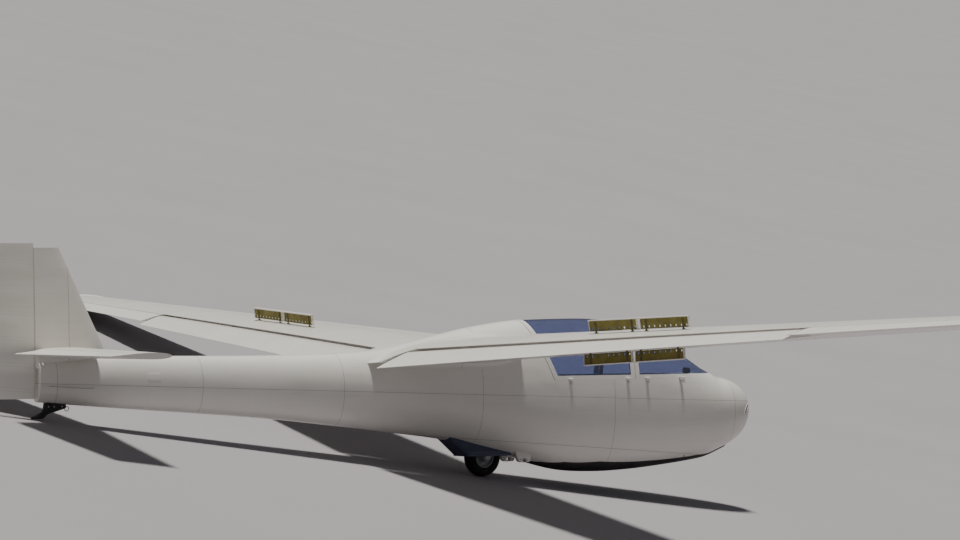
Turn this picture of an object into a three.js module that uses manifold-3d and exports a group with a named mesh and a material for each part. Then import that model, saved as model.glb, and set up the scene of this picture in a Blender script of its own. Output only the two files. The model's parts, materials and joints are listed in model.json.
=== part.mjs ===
// Two-seat all-metal training sailplane, standing as it parks: on its main wheel, its tail skid
// and the body at the end of its port wing.
// The machine is drawn level, nose along +X, port wing along +Y, with the main wheel's contact
// point at the origin, and the whole is then turned into the parked attitude. Lengths are mm.
import * as THREE from "three";
import { mergeVertices } from "three/addons/utils/BufferGeometryUtils.js";
import Module from "manifold-3d";

const wasm = await Module();
wasm.setup();

// Fits between pieces
const SEAT = 0.3;
const RUNNING = 6;

// Fuselage form: each row is a cross-section
const FUSELAGE = [
  { x: 2978, belly: 560, crown: 590, half: 14, waist: 575 },
  { x: 2950, belly: 440, crown: 690, half: 103, waist: 571 },
  { x: 2884, belly: 336, crown: 776, half: 160, waist: 564 },
  { x: 2755, belly: 252, crown: 845, half: 215, waist: 560 },
  { x: 2575, belly: 178, crown: 886, half: 260, waist: 560 },
  { x: 2500, belly: 150, crown: 928, half: 273, waist: 560 },
  { x: 2400, belly: 126, crown: 976, half: 288, waist: 560 },
  { x: 2050, belly: 82, crown: 1180, half: 313, waist: 565 },
  { x: 1600, belly: 42, crown: 1388, half: 325, waist: 580 },
  { x: 1200, belly: 30, crown: 1430, half: 325, waist: 600 },
  { x: 800, belly: 56, crown: 1434, half: 322, waist: 620 },
  { x: 350, belly: 160, crown: 1420, half: 312, waist: 670 },
  { x: -100, belly: 262, crown: 1366, half: 297, waist: 720 },
  { x: -460, belly: 345, crown: 1300, half: 280, waist: 760 },
  { x: -1000, belly: 415, crown: 1190, half: 248, waist: 790 },
  { x: -1450, belly: 468, crown: 1144, half: 216, waist: 805 },
  { x: -2400, belly: 570, crown: 1126, half: 168, waist: 848 },
  { x: -4000, belly: 690, crown: 1135, half: 118, waist: 912 },
  { x: -4665, belly: 745, crown: 1110, half: 78, waist: 930 },
];
const ROUNDNESS = 2.2;
const RING_SIDES = 28;
// Where the skin has a ring: close at the nose, wide apart along the boom
const RINGS = [
  2978, 2967, 2950, 2922, 2884, 2840, 2795, 2750, 2700, 2575, 2490, 2390, 2280, 2150, 2000, 1820, 1640,
  1460, 1280, 1100, 900, 700, 500, 300, 100, -100, -300, -500, -700, -900, -1100, -1300, -1450,
  -1950, -2500, -3200, -4000, -4330, -4665,
];
const COCKPIT_WALL = 30;
const NOSE_WALL = 16;
const NOSE_JOINT = 2700;
const BOOM_JOINT = -1450;
const SILL = 870;
const DECK_EDGE = 2575;
const HOOD_SPLIT = 1500;

// The sloping bulkhead behind the rear seat, in side view
const BULKHEAD_FOOT = { x: 580, z: 900 };
const BULKHEAD_LEAN = THREE.MathUtils.degToRad(22.9);

// Wing
const WING = {
  nose: 216,
  sweep: 0.061,
  height: 1135,
  dihedral: Math.tan(THREE.MathUtils.degToRad(2.8)),
  rootChord: 1600,
  taper: 0.111,
  rootSet: 3.5,
  tipSet: 1.0,
  rootThickness: 0.15,
  tipThickness: 0.12,
  camber: 0.03,
  camberPlace: 0.45,
  start: 60,
  end: 7990,
};

// Places along the span, besides their ends, where the wing and its moving pieces are drawn
const WING_STATIONS = [1500, 2900, 4300, 5700, 6900];
const TIP_BODY = { y: 8035, radius: 65, front: 800, rear: -130 };
const FLAP = {
  inner: 330,
  outer: 5225,
  ends: 18,
  droop: THREE.MathUtils.degToRad(6),
  farthest: THREE.MathUtils.degToRad(10),
  pivot: { u: 0.7, v: -0.3 },
};
const FLAP_ARMS = [650, 2050, 3800, 5050];
const AILERON = { inner: 5262, outer: 7955, hinge: 0.765 };
const AILERON_HINGES = [5600, 6600, 7600];
const BRAKE = { inner: 2250, outer: 3540, upper: 0.54, lower: 0.595, plate: 96, out: 122, inside: 12 };

// Tail
const TAIL = { rudderHinge: -4720, elevatorHinge: -4650, height: 1172, halfSpan: 1725 };

// Main wheel
const WHEEL = { radius: 175, width: 125, rim: 96, axle: 12, sides: 32 };

// Finishes
const FINISH = {
  skin: { color: 0xe9e6dc, roughness: 0.35, metalness: 0.1 },
  surface: { color: 0xe2dfd4, roughness: 0.42, metalness: 0.1 },
  fairing: { color: 0x3f4557, roughness: 0.5, metalness: 0.1 },
  primer: { color: 0x8a7c38, roughness: 0.6, metalness: 0.3 },
  frame: { color: 0xdedbd2, roughness: 0.4, metalness: 0.2 },
  glazing: { color: 0x9fb6d8, roughness: 0.08, metalness: 0, transparent: true, opacity: 0.35 },
  interior: { color: 0x6f7370, roughness: 0.7, metalness: 0.1 },
  leather: { color: 0x3b332c, roughness: 0.75, metalness: 0 },
  panel: { color: 0x26282b, roughness: 0.6, metalness: 0.2 },
  steel: { color: 0x8b9096, roughness: 0.4, metalness: 0.8 },
  rubber: { color: 0x17171a, roughness: 0.85, metalness: 0 },
  skid: { color: 0x2c2a2c, roughness: 0.8, metalness: 0.2 },
};

const level = new THREE.Group();

// Solids and booleans
function bare(geometry) {
  const plain = geometry.clone();
  plain.deleteAttribute("normal");
  plain.deleteAttribute("uv");
  return mergeVertices(plain, 1e-3);
}

function solid(geometry) {
  const merged = bare(geometry);
  const mesh = new wasm.Mesh({
    numProp: 3,
    vertProperties: Float32Array.from(merged.attributes.position.array),
    triVerts: Uint32Array.from(merged.index.array),
  });
  return new wasm.Manifold(mesh);
}

function geometryOf(manifold) {
  const mesh = manifold.getMesh();
  const geometry = new THREE.BufferGeometry();
  geometry.setAttribute("position", new THREE.BufferAttribute(mesh.vertProperties, 3));
  geometry.setIndex(new THREE.BufferAttribute(mesh.triVerts, 1));
  return geometry;
}

function join(parts) {
  return parts.reduce((whole, part) => whole.add(part));
}

function cut(body, tools) {
  return tools.reduce((rest, tool) => rest.subtract(tool), body);
}

// The same solid on the other side of the plane of symmetry
function mirrored(manifold) {
  const geometry = geometryOf(manifold);
  geometry.scale(1, -1, 1);
  const index = geometry.index.array;
  for (let i = 0; i < index.length; i += 3) {
    const first = index[i];
    index[i] = index[i + 1];
    index[i + 1] = first;
  }
  return solid(geometry);
}

function block(x0, x1, y0, y1, z0, z1) {
  const geometry = new THREE.BoxGeometry(x1 - x0, y1 - y0, z1 - z0);
  geometry.translate((x0 + x1) / 2, (y0 + y1) / 2, (z0 + z1) / 2);
  return solid(geometry);
}

// A box in the axes of a frame matrix, given by its low and high corners there
function blockIn(matrix, low, high) {
  const geometry = new THREE.BoxGeometry(high[0] - low[0], high[1] - low[1], high[2] - low[2]);
  geometry.translate((low[0] + high[0]) / 2, (low[1] + high[1]) / 2, (low[2] + high[2]) / 2);
  geometry.applyMatrix4(matrix);
  return solid(geometry);
}

// A round bar between two points
function bar(from, to, radius, sides = 12) {
  const span = new THREE.Vector3().subVectors(to, from);
  const geometry = new THREE.CylinderGeometry(radius, radius, span.length(), sides);
  const turn = new THREE.Quaternion().setFromUnitVectors(new THREE.Vector3(0, 1, 0), span.clone().normalize());
  geometry.applyQuaternion(turn);
  geometry.translate((from.x + to.x) / 2, (from.y + to.y) / 2, (from.z + to.z) / 2);
  return solid(geometry);
}

// Flat triangles that close a ring, wound with the ring or against it
function capOf(ring, withRing) {
  const normal = new THREE.Vector3();
  ring.forEach((p, i) => normal.add(new THREE.Vector3().crossVectors(p, ring[(i + 1) % ring.length])));
  normal.normalize();
  const helper = Math.abs(normal.z) < 0.9 ? new THREE.Vector3(0, 0, 1) : new THREE.Vector3(1, 0, 0);
  const across = new THREE.Vector3().crossVectors(helper, normal).normalize();
  const up = new THREE.Vector3().crossVectors(normal, across);
  const flat = ring.map((p) => new THREE.Vector2(p.dot(across), p.dot(up)));
  const sign = Math.sign(THREE.ShapeUtils.area(flat)) * (withRing ? 1 : -1);
  return THREE.ShapeUtils.triangulateShape(flat, []).map(([a, b, c]) => {
    const turn = THREE.ShapeUtils.area([flat[a], flat[b], flat[c]]);
    return Math.sign(turn) === sign ? [a, b, c] : [a, c, b];
  });
}

// A closed skin through rings of equal length
function loft(rings) {
  const count = rings[0].length;
  const index = [];
  for (let r = 0; r + 1 < rings.length; r += 1) {
    for (let k = 0; k < count; k += 1) {
      const a = r * count + k;
      const b = r * count + ((k + 1) % count);
      index.push(a, b, b + count, a, b + count, a + count);
    }
  }
  capOf(rings[0], false).forEach((face) => index.push(...face));
  const last = (rings.length - 1) * count;
  capOf(rings[rings.length - 1], true).forEach((face) => index.push(...face.map((i) => i + last)));
  const points = rings.flat();
  let volume = 0;
  for (let i = 0; i < index.length; i += 3) {
    const [a, b, c] = [points[index[i]], points[index[i + 1]], points[index[i + 2]]];
    volume += a.dot(new THREE.Vector3().crossVectors(b, c));
  }
  if (volume < 0) {
    index.reverse();
  }
  const geometry = new THREE.BufferGeometry().setFromPoints(points);
  geometry.setIndex(index);
  return solid(geometry);
}

function lathe(profile, sides, axisY) {
  const points = profile.map(([r, h]) => new THREE.Vector2(r, h));
  const geometry = new THREE.LatheGeometry(points, sides);
  if (!axisY) {
    geometry.rotateZ(-Math.PI / 2);
  }
  return solid(geometry);
}

function add(name, manifold, finish) {
  const material = new THREE.MeshStandardMaterial(FINISH[finish]);
  const mesh = new THREE.Mesh(geometryOf(manifold), material);
  mesh.name = name;
  level.add(mesh);
  return mesh;
}

// Fuselage sections: smooth curves through the table's rows
const FORM_KEYS = ["belly", "crown", "half", "waist"];

function slopeAt(row, key) {
  const before = FUSELAGE[Math.max(row - 1, 0)];
  const after = FUSELAGE[Math.min(row + 1, FUSELAGE.length - 1)];
  return (after[key] - before[key]) / (after.x - before.x);
}

function sectionAt(x) {
  let row = FUSELAGE.findIndex((s, i) => i > 0 && x >= s.x) - 1;
  if (row < 0) {
    row = x > FUSELAGE[0].x ? 0 : FUSELAGE.length - 2;
  }
  const front = FUSELAGE[row];
  const rear = FUSELAGE[row + 1];
  const step = rear.x - front.x;
  const t = (x - front.x) / step;
  const section = { x };
  for (const key of FORM_KEYS) {
    const start = (2 * t ** 3 - 3 * t ** 2 + 1) * front[key] + (t ** 3 - 2 * t ** 2 + t) * step * slopeAt(row, key);
    const finish = (3 * t ** 2 - 2 * t ** 3) * rear[key] + (t ** 3 - t ** 2) * step * slopeAt(row + 1, key);
    section[key] = start + finish;
  }
  return section;
}

// A point on the skin at an angle about the waist, with the skin moved in by inset
function skinPoint(section, angle, inset) {
  const c = Math.cos(angle);
  const s = Math.sin(angle);
  const power = 2 / ROUNDNESS;
  const rise = s > 0 ? section.crown - section.waist : section.waist - section.belly;
  const y = (section.half - inset) * Math.sign(c) * Math.abs(c) ** power;
  const z = section.waist + (rise - inset) * Math.sign(s) * Math.abs(s) ** power;
  return new THREE.Vector3(section.x, y, z);
}

function ringAngle(k) {
  return ((k + 0.5) / RING_SIDES) * 2 * Math.PI;
}

// The fuselage's whole form with its skin moved in by inset; every piece of it is cut from this
function form(inset = 0) {
  const rings = RINGS.map((x) => {
    const section = sectionAt(x);
    return Array.from({ length: RING_SIDES }, (_, k) => skinPoint(section, ringAngle(k), inset));
  });
  return loft(rings);
}

const outside = form();
const clearOfSkin = form(-SEAT);

function slice(shape, front, rear) {
  return shape.intersect(block(rear, front, -700, 700, -200, 2000));
}

// A deep block whose face is the sloping bulkhead's plane, moved forward by ahead
function bulkheadBlock(ahead, forward) {
  const reach = 4000;
  const normal = new THREE.Vector3(Math.cos(BULKHEAD_LEAN), 0, Math.sin(BULKHEAD_LEAN));
  const foot = new THREE.Vector3(BULKHEAD_FOOT.x, 0, BULKHEAD_FOOT.z);
  const centre = foot.addScaledVector(normal, ahead + (forward ? reach / 2 : -reach / 2));
  const geometry = new THREE.BoxGeometry(reach, reach, reach);
  geometry.rotateY(-BULKHEAD_LEAN);
  geometry.translate(centre.x, centre.y, centre.z);
  return solid(geometry);
}

// Wing sections: u runs aft and v up, in parts of the chord
function chordAt(y) {
  return WING.rootChord - WING.taper * y;
}

function halfThickness(u, thickness) {
  const series = 0.2969 * Math.sqrt(u) - 0.126 * u - 0.3516 * u ** 2 + 0.2843 * u ** 3 - 0.1015 * u ** 4;
  return 5 * thickness * series;
}

function camberLine(u) {
  const { camber, camberPlace: p } = WING;
  if (u < p) {
    return (camber / p ** 2) * (2 * p * u - u ** 2);
  }
  return (camber / (1 - p) ** 2) * (1 - 2 * p + 2 * p * u - u ** 2);
}

function thicknessAt(y) {
  return WING.rootThickness + ((WING.tipThickness - WING.rootThickness) * y) / WING.end;
}

function upper(y, u) {
  return camberLine(u) + halfThickness(u, thicknessAt(y));
}

function lower(y, u) {
  return camberLine(u) - halfThickness(u, thicknessAt(y));
}

function wingAxes(y) {
  const set = THREE.MathUtils.degToRad(WING.rootSet + ((WING.tipSet - WING.rootSet) * y) / WING.end);
  const aft = new THREE.Vector3(-Math.cos(set), 0, -Math.sin(set));
  const rise = new THREE.Vector3(-Math.sin(set), 0, Math.cos(set));
  return { aft, rise };
}

function wingPoint(y, u, v) {
  const chord = chordAt(y);
  const { aft, rise } = wingAxes(y);
  const point = new THREE.Vector3(WING.nose + WING.sweep * y, y, WING.height + WING.dihedral * y);
  return point.addScaledVector(aft, u * chord).addScaledVector(rise, v * chord);
}

function wingRing(y, outline) {
  return outline.map(([u, v]) => wingPoint(y, u, v));
}

// A solid along the span, from an outline that is drawn afresh at each station
function spanLoft(from, to, outlineAt) {
  const stations = [from, ...WING_STATIONS.filter((y) => y > from && y < to), to];
  return loft(stations.map((y) => wingRing(y, outlineAt(y))));
}

const WING_STEPS = [0.01, 0.04, 0.1, 0.2, 0.34, 0.5, 0.66, 0.82];

function aerofoil(y) {
  const top = [...WING_STEPS].reverse().map((u) => [u, upper(y, u)]);
  const bottom = WING_STEPS.map((u) => [u, lower(y, u)]);
  return [[1, upper(y, 1)], ...top, [0, 0], ...bottom, [1, lower(y, 1)]];
}

// A frame whose Y runs along a hinge line and whose X runs forward
function hingeFrame(from, to, at) {
  const along = new THREE.Vector3().subVectors(to, from).normalize();
  const up = new THREE.Vector3().crossVectors(new THREE.Vector3(1, 0, 0), along).normalize();
  const ahead = new THREE.Vector3().crossVectors(along, up);
  return new THREE.Matrix4().makeBasis(ahead, along, up).setPosition(at);
}

function turnAbout(manifold, from, to, angle) {
  const axis = new THREE.Vector3().subVectors(to, from).normalize();
  const geometry = geometryOf(manifold);
  geometry.translate(-from.x, -from.y, -from.z);
  geometry.applyQuaternion(new THREE.Quaternion().setFromAxisAngle(axis, angle));
  geometry.translate(from.x, from.y, from.z);
  return solid(geometry);
}

// Flap, drawn retracted and then run out along its tracks, which are arcs about a line below the wing
const flapFrom = wingPoint(FLAP.inner, FLAP.pivot.u, FLAP.pivot.v);
const flapTo = wingPoint(FLAP.outer, FLAP.pivot.u, FLAP.pivot.v);
const COVE = { front: 0.655, lip: 0.745, lipRoot: 0.008, lipEdge: 0.004 };

function flapOutline(y) {
  return [
    [1, upper(y, 1)],
    [0.9, upper(y, 0.9)],
    [0.8, upper(y, 0.8)],
    [0.765, upper(y, 0.765) - 0.004],
    [0.745, upper(y, 0.745) - 0.012],
    [0.695, upper(y, 0.695) - 0.024],
    [0.676, upper(y, 0.676) - 0.045],
    [0.676, lower(y, 0.676) + 0.02],
    [0.69, lower(y, 0.69) + 0.004],
    [0.76, lower(y, 0.76)],
    [0.88, lower(y, 0.88)],
    [1, lower(y, 1)],
  ];
}

function coveOutline(y) {
  return [
    [COVE.front, -0.3],
    [COVE.front, upper(y, COVE.front) - COVE.lipRoot],
    [COVE.lip, upper(y, COVE.lip) - COVE.lipEdge],
    [COVE.lip, 0.3],
    [1.2, 0.3],
    [1.2, -0.3],
  ];
}

const ARM = { width: 14, low: -14, high: 14 };

function flapArmFrame(y) {
  return hingeFrame(flapFrom, flapTo, wingPoint(y, FLAP.pivot.u, 0.012));
}

function flapArms() {
  return FLAP_ARMS.map((y) => {
    const reach = 0.12 * chordAt(y);
    const low = [-0.06 * chordAt(y), -ARM.width / 2, ARM.low];
    return blockIn(flapArmFrame(y), low, [reach, ARM.width / 2, ARM.high]);
  });
}

function flapArmSlots() {
  return FLAP_ARMS.map((y) => {
    const side = ARM.width / 2 + SEAT;
    const front = 0.165 * chordAt(y);
    const high = ARM.high + 0.12 * chordAt(y) * Math.sin(FLAP.farthest) + RUNNING;
    return blockIn(flapArmFrame(y), [-60, -side, -200], [front, side, high]);
  });
}

function flap() {
  const body = spanLoft(FLAP.inner, FLAP.outer, flapOutline);
  return turnAbout(join([body, ...flapArms()]), flapFrom, flapTo, -FLAP.droop);
}

// Aileron: a plain flap with a round nose about its hinge line
function hingeMiddle(y, u) {
  return (upper(y, u) + lower(y, u)) / 2;
}

const aileronFrom = wingPoint(AILERON.inner, AILERON.hinge, hingeMiddle(AILERON.inner, AILERON.hinge));
const aileronTo = wingPoint(AILERON.outer, AILERON.hinge, hingeMiddle(AILERON.outer, AILERON.hinge));

function aileronOutline(y) {
  const u = AILERON.hinge;
  const radius = (upper(y, u) - lower(y, u)) / 2;
  const middle = hingeMiddle(y, u);
  const nose = [90, 60, 30, 0, -30, -60, -90].map((degrees) => {
    const angle = THREE.MathUtils.degToRad(degrees);
    return [u - radius * Math.cos(angle), middle + radius * Math.sin(angle)];
  });
  return [[1, upper(y, 1)], [0.88, upper(y, 0.88)], ...nose, [0.88, lower(y, 0.88)], [1, lower(y, 1)]];
}

const AILERON_COVE = 0.722;
const TONGUE = { width: 12, half: 9, behind: 26 };

function aileronCove(y) {
  return [[AILERON_COVE, -0.3], [AILERON_COVE, 0.3], [1.2, 0.3], [1.2, -0.3]];
}

// Hinge tongues reach aft from the wing into slots in the aileron's nose
function aileronFrame(y) {
  const at = wingPoint(y, AILERON.hinge, hingeMiddle(y, AILERON.hinge));
  return hingeFrame(aileronFrom, aileronTo, at);
}

function aileronTongues() {
  return AILERON_HINGES.map((y) => {
    const ahead = (AILERON.hinge - AILERON_COVE + 0.02) * chordAt(y);
    const high = [ahead, TONGUE.width / 2, TONGUE.half];
    return blockIn(aileronFrame(y), [-TONGUE.behind, -TONGUE.width / 2, -TONGUE.half], high);
  });
}

function aileron() {
  const body = spanLoft(AILERON.inner, AILERON.outer, aileronOutline);
  const slots = AILERON_HINGES.map((y) => {
    const side = TONGUE.width / 2 + SEAT;
    return blockIn(aileronFrame(y), [-TONGUE.behind - RUNNING, -side, -60], [80, side, 60]);
  });
  return cut(body, slots);
}

// Airbrake plates, run out square to the wing's surface
function brakeFrame(u, above) {
  const middle = (BRAKE.inner + BRAKE.outer) / 2;
  const surface = above ? upper : lower;
  const from = wingPoint(BRAKE.inner, u, surface(BRAKE.inner, u));
  const to = wingPoint(BRAKE.outer, u, surface(BRAKE.outer, u));
  const at = wingPoint(middle, u, surface(middle, u));
  const along = new THREE.Vector3().subVectors(to, from).normalize();
  const nearAft = wingPoint(middle, u + 0.02, surface(middle, u + 0.02));
  const nearFore = wingPoint(middle, u - 0.02, surface(middle, u - 0.02));
  const ahead = new THREE.Vector3().subVectors(nearFore, nearAft).normalize();
  const out = new THREE.Vector3().crossVectors(ahead, along).normalize();
  const square = new THREE.Vector3().crossVectors(along, out);
  const frame = new THREE.Matrix4();
  if (above) {
    return frame.makeBasis(square, along, out).setPosition(at);
  }
  return frame.makeBasis(square, along.negate(), out.negate()).setPosition(at);
}

const BRAKE_ARMS = [-560, -90, 90, 560];
const BRAKE_SLOT = { half: 16, depth: 140, capHalf: 23, capDepth: 10 };
const BRAKE_PLATE = { thick: 6, gap: 44, endThick: 4, endWidth: 22, under: 4 };

function brake(frame) {
  const half = (BRAKE.outer - BRAKE.inner) / 2 - RUNNING;
  const { out, inside, plate } = BRAKE;
  const cap = blockIn(frame, [-17, -half, out - 5], [17, half, out]);
  const { thick, gap, endThick, endWidth, under } = BRAKE_PLATE;
  const plates = [[-half, -gap / 2], [gap / 2, half]].flatMap(([low, high]) => {
    const spans = [[thick, low, high], [endWidth, low, low + endThick], [endWidth, high - endThick, high]];
    return spans.map(([wide, from, to]) => {
      return blockIn(frame, [-wide / 2, from, out - under - plate], [wide / 2, to, out - under]);
    });
  });
  const arms = BRAKE_ARMS.map((y) => blockIn(frame, [-5, y - 15, -inside], [5, y + 15, out - plate + 20]));
  const feet = BRAKE_ARMS.map((y) => {
    const side = BRAKE_SLOT.half - SEAT;
    return blockIn(frame, [-side, y - 15, -inside], [side, y + 15, 0]);
  });
  return join([cap, ...plates, ...arms, ...feet]);
}

function brakeSlot(frame) {
  const half = (BRAKE.outer - BRAKE.inner) / 2;
  const { half: wide, depth, capHalf, capDepth } = BRAKE_SLOT;
  const deep = blockIn(frame, [-wide, -half, -depth], [wide, half, 30]);
  const mouth = blockIn(frame, [-capHalf, -half, -capDepth], [capHalf, half, 30]);
  return deep.add(mouth);
}

const upperBrake = brakeFrame(BRAKE.upper, true);
const lowerBrake = brakeFrame(BRAKE.lower, false);

// Wing tip body: a spindle along the tip chord
const SPINDLE = [
  [0, 0], [0.03, 0.36], [0.1, 0.66], [0.22, 0.9], [0.4, 1], [0.6, 0.93], [0.8, 0.62], [0.94, 0.25], [1, 0],
];

function tipBody(extra = 0) {
  const length = TIP_BODY.front - TIP_BODY.rear;
  const radius = TIP_BODY.radius + extra;
  const profile = SPINDLE.map(([along, wide]) => [wide * radius, -along * length]).reverse();
  const body = geometryOf(lathe(profile, 16, false));
  const rise = WING.height + WING.dihedral * TIP_BODY.y;
  body.translate(TIP_BODY.front, TIP_BODY.y, rise);
  return solid(body);
}

function wing() {
  const body = spanLoft(WING.start, WING.end, aerofoil);
  const cove = spanLoft(FLAP.inner - RUNNING, FLAP.outer + FLAP.ends, coveOutline);
  const space = spanLoft(AILERON.inner - RUNNING, WING.end + 50, aileronCove);
  const slots = [brakeSlot(upperBrake), brakeSlot(lowerBrake), ...flapArmSlots()];
  const shaped = cut(body, [cove, space, ...slots, tipBody(SEAT)]);
  return shaped.add(join(aileronTongues()));
}

// Fuselage pieces
const outer = slice(outside, NOSE_JOINT - SEAT, 300);
const inner = slice(form(COCKPIT_WALL), NOSE_JOINT + 60, 300);
const aboveSill = block(-2000, DECK_EDGE, -600, 600, SILL, 2000);

function cockpitTub() {
  const shell = outer.intersect(bulkheadBlock(0, true));
  const room = inner.intersect(bulkheadBlock(COCKPIT_WALL, true));
  return cut(shell, [room, aboveSill]);
}

const HOOD_HINGE = { y: -332, z: 880, radius: 5 };
const HOODS = [
  { name: "front", from: HOOD_SPLIT + RUNNING / 2, to: DECK_EDGE - RUNNING, lugs: [1620, 2020] },
  { name: "rear", from: 0, to: HOOD_SPLIT - RUNNING / 2, lugs: [760, 1400] },
];

function hoodHingeEars(hood) {
  const { y, z, radius } = HOOD_HINGE;
  return hood.lugs.flatMap((x) => {
    const foot = block(x + 9, x + 21, y - 9, y + 75, SILL - 40, SILL - 2);
    const ear = block(x + 9, x + 21, y - 9, y + 9, SILL - 40, z + 9);
    const pin = bar(new THREE.Vector3(x - 12, y, z), new THREE.Vector3(x + 15, y, z), radius);
    return [foot, ear, pin];
  });
}

function hoodLugs(hood) {
  const { y, z, radius } = HOOD_HINGE;
  return hood.lugs.map((x) => {
    const lug = block(x - 12, x + 9 - SEAT, y - 10, y + 85, SILL + 1, z + 10);
    const bore = bar(new THREE.Vector3(x - 30, y, z), new THREE.Vector3(x + 30, y, z), radius + SEAT);
    return cut(lug, [bore, hoodInside]);
  });
}

const HOOD = { rail: 42, arch: 45, frame: 20, glassOut: 5, glassIn: 10 };
const hoodInside = slice(form(HOOD.frame), 2800, 300);

function hoodSpace(hood) {
  const room = block(hood.from, hood.to, -600, 600, SILL + SEAT + 0.2, 1700);
  return room.intersect(bulkheadBlock(RUNNING, true));
}

// What the frame covers: the sill rails, the front and rear arches
function hoodBands(hood, grow) {
  const rail = block(0, 3000, -600, 600, 0, SILL + HOOD.rail + grow);
  const front = block(hood.to - HOOD.arch - grow, 3000, -600, 600, 0, 1700);
  if (hood.name === "front") {
    return join([rail, front, block(0, hood.from + HOOD.arch + grow, -600, 600, 0, 1700)]);
  }
  return join([rail, front, bulkheadBlock(RUNNING + HOOD.arch + grow, false)]);
}

function hoodFrame(hood) {
  const shell = outer.subtract(hoodInside);
  const frame = shell.intersect(hoodSpace(hood)).intersect(hoodBands(hood, 0));
  return join([frame, ...hoodLugs(hood)]);
}

function hoodGlass(hood) {
  const shell = form(HOOD.glassOut).subtract(form(HOOD.glassIn));
  return shell.intersect(hoodSpace(hood)).subtract(hoodBands(hood, SEAT));
}

const SPINE = { height: 1215, slope: Math.atan(0.045) };

function spineBlock(above, gap) {
  const reach = 4000;
  const geometry = new THREE.BoxGeometry(reach, reach, reach);
  geometry.translate(0, 0, (above ? reach : -reach) / 2 + gap);
  geometry.rotateY(-SPINE.slope);
  geometry.translate(0, 0, SPINE.height);
  return solid(geometry);
}

const middle = slice(outside, 1000, BOOM_JOINT + SEAT);
const behindBulkhead = bulkheadBlock(-SEAT, false);

const WELL = { front: 255, rear: -235, half: 100, top: 405 };

function centreFuselage() {
  const well = block(WELL.rear, WELL.front, -WELL.half, WELL.half, -100, WELL.top);
  return cut(middle.intersect(behindBulkhead), [well, spineBlock(true, 0)]);
}

function dorsalFairing() {
  return middle.intersect(behindBulkhead).intersect(spineBlock(true, SEAT));
}

function noseCap() {
  const shape = slice(outside, 3100, NOSE_JOINT);
  const room = slice(form(NOSE_WALL), 2948, NOSE_JOINT - 50);
  return shape.subtract(room);
}

function tailBoom() {
  return slice(outside, BOOM_JOINT, -4700).subtract(tailplane(SEAT));
}

// Tail surfaces: symmetrical sections; steps are parts of the way to the section's rear end
const TAIL_STEPS = [0.015, 0.08, 0.24, 0.5, 0.76];

// Each row is a section: leading edge, trailing edge, hinge line, thickness and place
const TAILPLANE_TIP = { nose: -4330, tail: -4930 };
const TAILPLANE_ROOT = { nose: -4085, tail: -5065 };
const FIN = [
  { z: 1040, nose: -3900, tail: -5310 },
  { z: 2085, nose: -4440, tail: -5140 },
];
const TAIL_THICKNESS = { plane: 0.095, fin: 0.075 };

function tailOutline(row, hinge, thickness, grow = 0) {
  const chord = row.nose - row.tail;
  const place = (row.nose - hinge) / chord;
  const radius = halfThickness(place, thickness) * chord;
  const end = place - (radius + RUNNING) / chord;
  const steps = TAIL_STEPS.map((step) => step * end);
  const side = steps.map((u) => [row.nose - u * chord, halfThickness(u, thickness) * chord + grow]);
  side.push([row.nose - end * chord - grow, halfThickness(end, thickness) * chord + grow]);
  const back = [...side].reverse().map(([x, w]) => [x, -w]);
  return [[row.nose + 2 * grow, 0], ...side, ...back];
}

function controlOutline(row, hinge, thickness) {
  const chord = row.nose - row.tail;
  const place = (row.nose - hinge) / chord;
  const radius = halfThickness(place, thickness) * chord;
  const nose = [90, 60, 30, 0, -30, -60, -90].map((degrees) => {
    const angle = THREE.MathUtils.degToRad(degrees);
    return [hinge + radius * Math.cos(angle), radius * Math.sin(angle)];
  });
  const edge = halfThickness(1, thickness) * chord + 1;
  return [...nose, [row.tail, -edge], [row.tail, edge]];
}

function tailplane(grow = 0) {
  const rows = [
    { y: -TAIL.halfSpan, ...TAILPLANE_TIP },
    { y: 0, ...TAILPLANE_ROOT },
    { y: TAIL.halfSpan, ...TAILPLANE_TIP },
  ];
  const rings = rows.map((row) => {
    const outline = tailOutline(row, TAIL.elevatorHinge, TAIL_THICKNESS.plane, grow);
    return outline.map(([x, w]) => new THREE.Vector3(x, row.y, TAIL.height + w));
  });
  const body = loft(rings);
  if (grow > 0) {
    return body;
  }
  const side = TONGUE.width / 2;
  const tongues = ELEVATOR_HINGES.map((y) => {
    const hinge = TAIL.elevatorHinge;
    return block(hinge - TONGUE.behind, hinge + 70, y - side, y + side, TAIL.height - 9, TAIL.height + 9);
  });
  return join([body, ...tongues]);
}

const ELEVATOR_HINGES = [-1500, -750, 750, 1500];

// Where the rudder swings between the elevator's halves
const RUDDER_ROOM = { front: -4690, rear: -5090, frontHalf: 84, rearHalf: 284 };
const ELEVATOR_ROOT = 60;
const ELEVATOR_TUBE = 14;

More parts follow.
